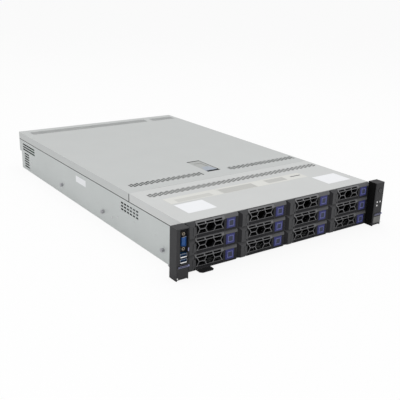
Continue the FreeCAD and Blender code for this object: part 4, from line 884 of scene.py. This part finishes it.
label("label_left", -183, -125, 32, 77, PAPER)
label("label_right", 138, 198, 28, 74, PAPER)
label("film_strip_left", -184, -73, 83, 113, CREAM)
label("film_strip_right", -72, 136, 83, 113, CREAM)
label("film_print_left", -168, -92, 86, 101, SAND, 0.2)
label("film_print_middle", -70, 9, 84, 107, PALE_GREY, 0.2)
label("film_print_right", 40, 88, 89, 107, PALE_GREY, 0.2)
label("film_dash", 104, 130, 97.4, 101, GREY_PLASTIC, 0.2)
bm = bmesh.new()
block(bm, (-SIDE - 0.15, 350, 48), (-SIDE + 0.05, 396, 61), 0.05)
piece("side_label", bm, PAPER, "chassis")
print("labels: 9")

# %% [markdown]
# ## Rivets and screw heads
# The side walls show small fasteners. All of them are one rule: a low crowned head on each
# given point. Geometry Nodes place them; the head is turned to face out of the wall.


# %% The fastener tree
def head_tree():
    """Crowned heads on the given points, tilted about x and turned about y."""
    tree, given, result = new_tree("fastener_heads", {"Radius": 0.003, "Height": 0.001,
                                                      "Turn": 0.0, "Tilt": 0.0})
    base = add(tree, "GeometryNodeMeshCylinder", {"Vertices": 16, "Radius": given["Radius"],
                                                  "Depth": given["Height"]})[0]
    crown = add(tree, "GeometryNodeMeshCone", {
        "Vertices": 16, "Radius Bottom": given["Radius"],
        "Radius Top": maths(tree, "MULTIPLY", given["Radius"], 0.6),
        "Depth": maths(tree, "MULTIPLY", given["Height"], 0.5)})[0]
    raised = add(tree, "GeometryNodeTransform", {
        "Geometry": crown,
        "Translation": vector(tree, 0.0, 0.0, maths(tree, "MULTIPLY", given["Height"], 0.5))})[0]
    both = tree.nodes.new("GeometryNodeJoinGeometry")
    tree.links.new(base, both.inputs[0])
    tree.links.new(raised, both.inputs[0])
    turned = add(tree, "GeometryNodeTransform", {
        "Geometry": both.outputs[0],
        "Rotation": vector(tree, given["Tilt"], given["Turn"], 0.0)})[0]
    close_tree(tree, on_points(tree, given["Geometry"], turned), given, result)
    return tree


HEADS = head_tree()


def heads(name, places, radius, height, turn, material, body, tilt=0.0):
    """Fastener heads at drawing places."""
    made = grown(name, HEADS, material, [at(*p) for p in places], radius=radius * MM,
                 height=height * MM, turn=math.radians(turn), tilt=math.radians(tilt))
    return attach(made, body)


SCREWS = ((650, 22), (216, 27), (238, 20))
RIVETS = ((152, 37.6), (81, 38.4), (300, 30))
heads("side_screws_left", [(-SIDE, *p) for p in SCREWS], 2.2, 0.8, -90, BRIGHT, "chassis")
heads("side_rivets_left", [(-SIDE, *p) for p in RIVETS], 1.4, 0.5, -90, BRIGHT, "chassis")
heads("side_screws_right", [(SIDE, *p) for p in SCREWS], 2.2, 0.8, 90, BRIGHT, "chassis")
print("fastener heads placed")

# %% [markdown]
# ## Ears
# The flip levers carry a lilac strip where the fingers go, and the right one a bare metal
# badge. The right ear has a grey ring round the power button and three lit windows.


# %% Round plugs
def round_plug(bm, x, z, radius, y0, y1, steps=16):
    """Short round bar between two depths."""
    extruded(bm, [(x + u, z + v) for u, v in circle(radius, steps)], y0, y1)


# %% Lever strips, badge and pin ends
EAR_MIDDLE = sum(corner[0] for corner in box_mm("right_ear")) / 2
PIN = (239.9, 5.6)


def lever_trim(side, sign):
    """Lilac finger strip and the light pin end of one ear's lever."""
    node = f"{side}_ear_lever"
    low, high = box_mm(node)
    start = EAR_MIDDLE * sign - 9.8
    end = min(EAR_MIDDLE * sign + 12.2, high[0] - 0.1)
    bm = bmesh.new()
    block(bm, (start, low[1] + 0.02, high[2] - 2.6), (end, low[1] + 5, high[2] - 0.02), 0.25)
    piece(f"{side}_lever_strip", bm, LILAC, node, "ear_plastic")
    bm = bmesh.new()
    round_plug(bm, PIN[0] * sign, PIN[1], 1.0, low[1] - 0.02, low[1] + 0.4)
    piece(f"{side}_pin_end", bm, WHITE, node, "ear_plastic")


lever_trim("left", -1)
lever_trim("right", 1)
lever_face = box_mm("right_ear_lever")[0][1]
bm = bmesh.new()
block(bm, (EAR_MIDDLE - 10, lever_face + 1.2, 6), (EAR_MIDDLE + 9.4, lever_face + 1.8, 19), 0.3)
piece("right_lever_badge", bm, BADGE, "right_ear_lever")
print("ear levers trimmed")

# %% Painted shade in the video socket's post bores, painted highlights on the data sockets' lips, a painted lilac reflection
# Painted shade: dark discs on the posts' faces stand for their bores.
bm = bmesh.new()
for z in (VIDEO_HEIGHT - POST_REACH, VIDEO_HEIGHT + POST_REACH):
    round_plug(bm, SOCKET_MIDDLE, z, 1.5, -19.35, -18.5)
piece("video_post_bores", bm, SHADE_BLACK, "chassis")
# The lips are metal; their white paint is a painted highlight.
bm = bmesh.new()
for z in (32.8, 42.2):
    block(bm, (SOCKET_MIDDLE - 5.8, -20.7, z - 3.9), (SOCKET_MIDDLE + 5.8, -19.6, z - 2.3), 0.2)
piece("data_socket_lips", bm, WHITE, "chassis")
# Painted reflection: a small lilac strip at the inner edge of the left ear's socket recess.
bm = bmesh.new()
block(bm, (-219.9, -22.15, 48.6), (-218.3, -21.95, 54.2), 0.05)
piece("left_ear_mark", bm, LILAC, "chassis")
print("left ear sockets finished")

# %% Light windows and the power ring
EAR_FACE = box_mm("right_ear")[0][1]
WINDOW_HALF = 1.5
bm = bmesh.new()
for x, z in ((-4.2, 49.0), (4.2, 49.0), (-4.2, 42.0)):
    block(bm, (EAR_MIDDLE + x - WINDOW_HALF, EAR_FACE + 0.15, z - WINDOW_HALF),
          (EAR_MIDDLE + x + WINDOW_HALF, EAR_FACE + 0.55, z + WINDOW_HALF), 0.2)
piece("light_windows", bm, WHITE, "chassis")
button_face = box_mm("power_button")[0][1]
bm = bmesh.new()
flat_ring(bm, EAR_MIDDLE, 72.5, circle(3.6, 28), circle(3.0, 28), button_face - 0.15,
          button_face + 0.2)
piece("power_ring", bm, GREY_PLASTIC, "power_button")
print("right ear finished")

# %% [markdown]
# ## Inside the server
# With the rear cover lifted the boards show. Small parts on a circuit board are scattered, so
# Geometry Nodes distribute points over the board with a fixed seed and put a low block on
# each. Memory chips, sockets and coils stand in rows: one pattern, repeated at worked-out places.


# %% Board components
def scatter_tree():
    """Low blocks on random points of the given faces."""
    tree, given, result = new_tree("board_parts", {"Density": 900.0, "Seed": 4, "Size": 0.006,
                                                   "Height": 0.002})
    points = add(tree, "GeometryNodeDistributePointsOnFaces", {
        "Mesh": given["Geometry"], "Density": given["Density"], "Seed": given["Seed"]})[0]
    body = add(tree, "GeometryNodeMeshCube", {
        "Size": vector(tree, given["Size"], given["Size"], given["Height"])})[0]
    low = vector(tree, 0.35, 0.35, 0.6)
    high = vector(tree, 1.6, 1.2, 1.0)
    scale = add(tree, "FunctionNodeRandomValue", {"Min": low, "Max": high, "Seed": given["Seed"]},
                data_type="FLOAT_VECTOR")[0]
    blocks = add(tree, "GeometryNodeInstanceOnPoints", {"Points": points, "Instance": body,
                                                        "Scale": scale})[0]
    close_tree(tree, blocks, given, result)
    return tree


SCATTER = scatter_tree()
print("tree:", SCATTER.name)


def scattered(name, areas, z, density, seed, size, height, material):
    """Blocks over rectangles of a board, as one piece."""
    corners = [at(x, y, z) for x0, x1, y0, y1 in areas
               for x, y in ((x0, y0), (x1, y0), (x1, y1), (x0, y1))]
    faces = [range(i, i + 4) for i in range(0, len(corners), 4)]
    made = grown(name, SCATTER, material, corners, faces, density=density, seed=seed,
                 size=size * MM, height=height * MM)
    print(name, "faces:", len(made.data.polygons))
    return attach(made, "chassis")


BOARD_TOP = 7.6
free_areas = [(-200, -165, 360, 560), (-24, 24, 360, 560), (170, 200, 360, 510),
              (-150, 14, 530, 680)]
scattered("board_chips", free_areas, BOARD_TOP + 1, 1500.0, 4, 6.5, 2.0, CHIP)
scattered("board_small_parts", free_areas, BOARD_TOP + 0.6, 2600.0, 9, 2.4, 1.4, IVORY)

# %% Memory modules, their sockets and the power stages
MODULE_PITCH, CHIP_PITCH = 8.6, 16.4
modules = [96 * side + 64 * bank + MODULE_PITCH * (i - 1.5)
           for side in (-1, 1) for bank in (-1, 1) for i in range(4)]
chip_places = [(x + 1.1 * face, 377 + CHIP_PITCH * i, BOARD_TOP + 12)
               for x in modules for face in (-1, 1) for i in range(8)]
repeated("memory_chips", small_block((0.8, 11.0, 12.0), 0.15), chip_places, CHIP, "chassis")
repeated("memory_sockets", small_block((6.2, 141.0, 6.0), 0.5),
         [(x, 434.5, BOARD_TOP) for x in modules], BLACK, "chassis")
repeated("memory_latches", small_block((5.4, 5.0, 17.0), 0.6),
         [(x, y, BOARD_TOP) for x in modules for y in (364.6, 504.4)], IVORY, "chassis")
repeated("power_cans", small_can(3.2, 7.0),
         [(x + 9 * i, y, BOARD_TOP) for x in (-130, 62) for y in (357, 498) for i in range(8)],
         BRIGHT, "chassis")
repeated("power_chokes", small_block((9.0, 9.0, 6.0), 0.8),
         [(x + 13 * i, 508, BOARD_TOP) for x in (-134, 58) for i in range(6)], CHIP, "chassis")
repeated("riser_connectors", small_block((8.0, 92.0, 11.0), 0.6),
         [(x, 636, BOARD_TOP) for x in (-201, -63)], BLACK, "chassis")
repeated("coin_cell", small_can(10.0, 3.4, 28), [(-22, 640, BOARD_TOP)], BRIGHT, "chassis")
print("boards dressed")

# %% [markdown]
# ## Drives
# A pulled-out drive shows a pressed lid with its screws, and the screws that hold the drive in
# the carrier's rails.

# %% Drive lids and their screws
LID_HALF, RAIL_FACE = 46, 52.0
for number in BAYS:
    body = f"drive_carrier_{number}"
    low, high = box_mm(body)
    middle, top = (low[0] + high[0]) / 2, high[2] - 0.8
    bm = bmesh.new()
    block(bm, (middle - LID_HALF, 30, top - 0.3), (middle + LID_HALF, 150, top + 0.05), 0.1)
    piece(f"drive_lid_{number}", bm, BRIGHT, body, "carrier_plastic")
    lid_screws = [(middle + side * 42, y, top) for side in (-1, 1) for y in (34, 146)]
    heads(f"lid_screws_{number}", lid_screws, 2.0, 0.14, 0, SUPPLY, body)
    for side, turn, name in ((-1, -90, "left"), (1, 90, "right")):
        rail_screws = [(middle + side * RAIL_FACE, y, top - 19) for y in (42, 84, 144)]
        heads(f"rail_screws_{name}_{number}", rail_screws, 2.6, 0.4, turn, BRIGHT, body)
print("drives dressed: 12")

# %% [markdown]
# ## Rear
# The blank brackets and the power supplies breathe through fine honeycomb screens. The tree
# that perforates the covers makes their cutters too, stood upright.

# %% Bracket screens and screws
SLOT_GROUPS = (-138, 0, 138)
LEVEL_PITCH = 18.7
for group in SLOT_GROUPS:
    for level in (0, 1):
        low = 43.75 + LEVEL_PITCH * level
        for x in (group - 22, group + 22):
            screen(f"bracket_screen_{group + 138}_{level}_{x + 200}", (x - 18.2, x + 18.2),
                   (low + 3.9, low + 12.9), REAR - 0.2, 3.2, 0.8, SUPPLY, "chassis")
bracket_screws = [(group + side * 52, REAR, 52.2 + LEVEL_PITCH * level)
                  for group in SLOT_GROUPS for side in (-1, 1) for level in (0, 1)]
heads("bracket_screws", bracket_screws, 2.4, 0.8, 0, BRIGHT, "chassis", -90)
print("brackets dressed: 6")

# %% Supply screens, screws and lights, and the network contacts
for number in (1, 2):
    body = f"power_supply_{number}"
    middle = sum(corner[0] for corner in box_mm(body)) / 2
    bm = bmesh.new()
    block(bm, (middle + 5, LOWER_REAR - 0.3, 4), (middle + 28, LOWER_REAR + 0.06, 37), 0.02)
    piece(f"supply_shadow_{number}", bm, SHADE_BLACK, body, "supply_steel")
    screen(f"supply_grille_{number}", (middle + 4.4, middle + 28.6), (3.4, 37.6),
           LOWER_REAR + 0.6, 4.4, 1.0, SUPPLY, body)
    supply_screws = [(middle + 35, LOWER_REAR, z) for z in (6.5, 34.5)]
    heads(f"supply_screws_{number}", supply_screws, 2.2, 0.7, 0, BRIGHT, body, -90)
    bm = bmesh.new()
    round_plug(bm, middle - 38.5, 34.5, 1.4, LOWER_REAR - 0.2, LOWER_REAR + 0.5)
    piece(f"supply_light_{number}", bm, GREEN_LENS, body, "supply_steel")
CONTACT_PITCH = 1.1
bm = bmesh.new()
for middle in NETWORK_SOCKETS:
    for i in range(8):
        x = middle - 4.1 + i * CONTACT_PITCH
        block(bm, (x, LOWER_REAR - 10, 18.6), (x + 0.5, LOWER_REAR - 3, 19.4))
piece("network_contacts", bm, GOLD, "chassis")
print("rear dressed")

# %% [markdown]
# ## Floor, light and camera
# The server stands on a plain pale floor under soft light. The floor stays white to the
# camera and still keeps a shadow: its diffuse colour is mixed with a plain white for camera
# rays only.


# %% Floor
FLOOR_HALF = 60.0


def pale_floor():
    """Large floor that looks white and keeps a soft shadow."""
    mesh = bpy.data.meshes.new("floor")
    mesh.from_pydata([(x, y, 0) for x, y in square(FLOOR_HALF)], [], [(0, 1, 2, 3)])
    floor = placed("floor", mesh)
    floor.location.z = -0.0002
    material = bpy.data.materials.new("pale_floor")
    material.use_nodes = True
    tree = material.node_tree
    shader = tree.nodes["Principled BSDF"]
    fill(tree, shader, {"Base Color": (0.86, 0.86, 0.86, 1), "Roughness": 0.9})
    seen = add(tree, "ShaderNodeLightPath")["Is Camera Ray"]
    mix = add(tree, "ShaderNodeMixShader", {0: maths(tree, "MULTIPLY", seen, 0.88),
                                            1: shader.outputs[0],
                                            2: add(tree, "ShaderNodeEmission")[0]})
    fill(tree, tree.nodes["Material Output"], {"Surface": mix[0]})
    mesh.materials.append(material)
    floor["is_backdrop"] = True
    return floor


pale_floor()
print("floor half width:", FLOOR_HALF)

# %% World and lamps
SKY, BACKDROP = 0.72, 1.0
world = bpy.data.worlds.new("studio")
bpy.context.scene.world = world
world.use_nodes = True
tree = world.node_tree
sky = tree.nodes["Background"]
fill(tree, sky, {"Color": (1, 1, 1, 1), "Strength": SKY})
white = add(tree, "ShaderNodeBackground", {"Color": (1, 1, 1, 1), "Strength": BACKDROP})
path = add(tree, "ShaderNodeLightPath")
seen = maths(tree, "MAXIMUM", path["Is Camera Ray"], path["Is Transmission Ray"])
mix = add(tree, "ShaderNodeMixShader", {0: seen, 1: sky.outputs[0], 2: white[0]})
fill(tree, tree.nodes["World Output"], {"Surface": mix[0]})


def soft_lamp(name, place, target, size, power):
    """Square area lamp that faces a point."""
    data = bpy.data.lights.new(name, "AREA")
    data.size = size
    data.energy = power
    lamp = placed(name, data)
    lamp.location = place
    lamp.rotation_euler = (Vector(target) - Vector(place)).to_track_quat("-Z", "Y").to_euler()
    lamp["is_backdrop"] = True
    return lamp


soft_lamp("overhead", (0.2, 0.2, 2.6), (0, 0, 0.05), 2.4, 26.0)
soft_lamp("front_left", (-2.0, -1.6, 1.4), (0, -0.1, 0.05), 1.4, 12.0)
print("lamps: 2")

# %% [markdown]
# The camera looks from the left front corner, a little above. Its place is given in drawing
# millimetres, its aim as a heading, a dip and a slight roll, and its lens as a focal length on
# a 36 mm film.

# %% Camera
LENS = 57.17
HEADING, DIP, ROLL = 0.6220, 0.3340, 0.0280


def camera_turn(heading, dip, roll):
    """Rotation of a camera from its heading to the right of +Y, its dip and its roll."""
    forward = Vector((math.sin(heading) * math.cos(dip), math.cos(heading) * math.cos(dip),
                      -math.sin(dip)))
    right = Vector((math.cos(heading), -math.sin(heading), 0))
    up = right.cross(forward)
    right, up = (math.cos(roll) * right + math.sin(roll) * up,
                 -math.sin(roll) * right + math.cos(roll) * up)
    return Matrix((right, up, -forward)).transposed().to_euler()


data = bpy.data.cameras.new("camera")
data.lens = LENS
data.clip_start = 0.01
camera = placed("camera", data)
camera.location = at(-737.2, -771.6, 449.3)
camera.rotation_euler = camera_turn(HEADING, DIP, ROLL)
bpy.context.scene.camera = camera
bpy.context.scene.view_settings.view_transform = "Standard"
print("camera at", [round(c, 3) for c in camera.location])

# %% Sizes, and the end
low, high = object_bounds()
print("visual box", [round(v, 4) for v in high - low])
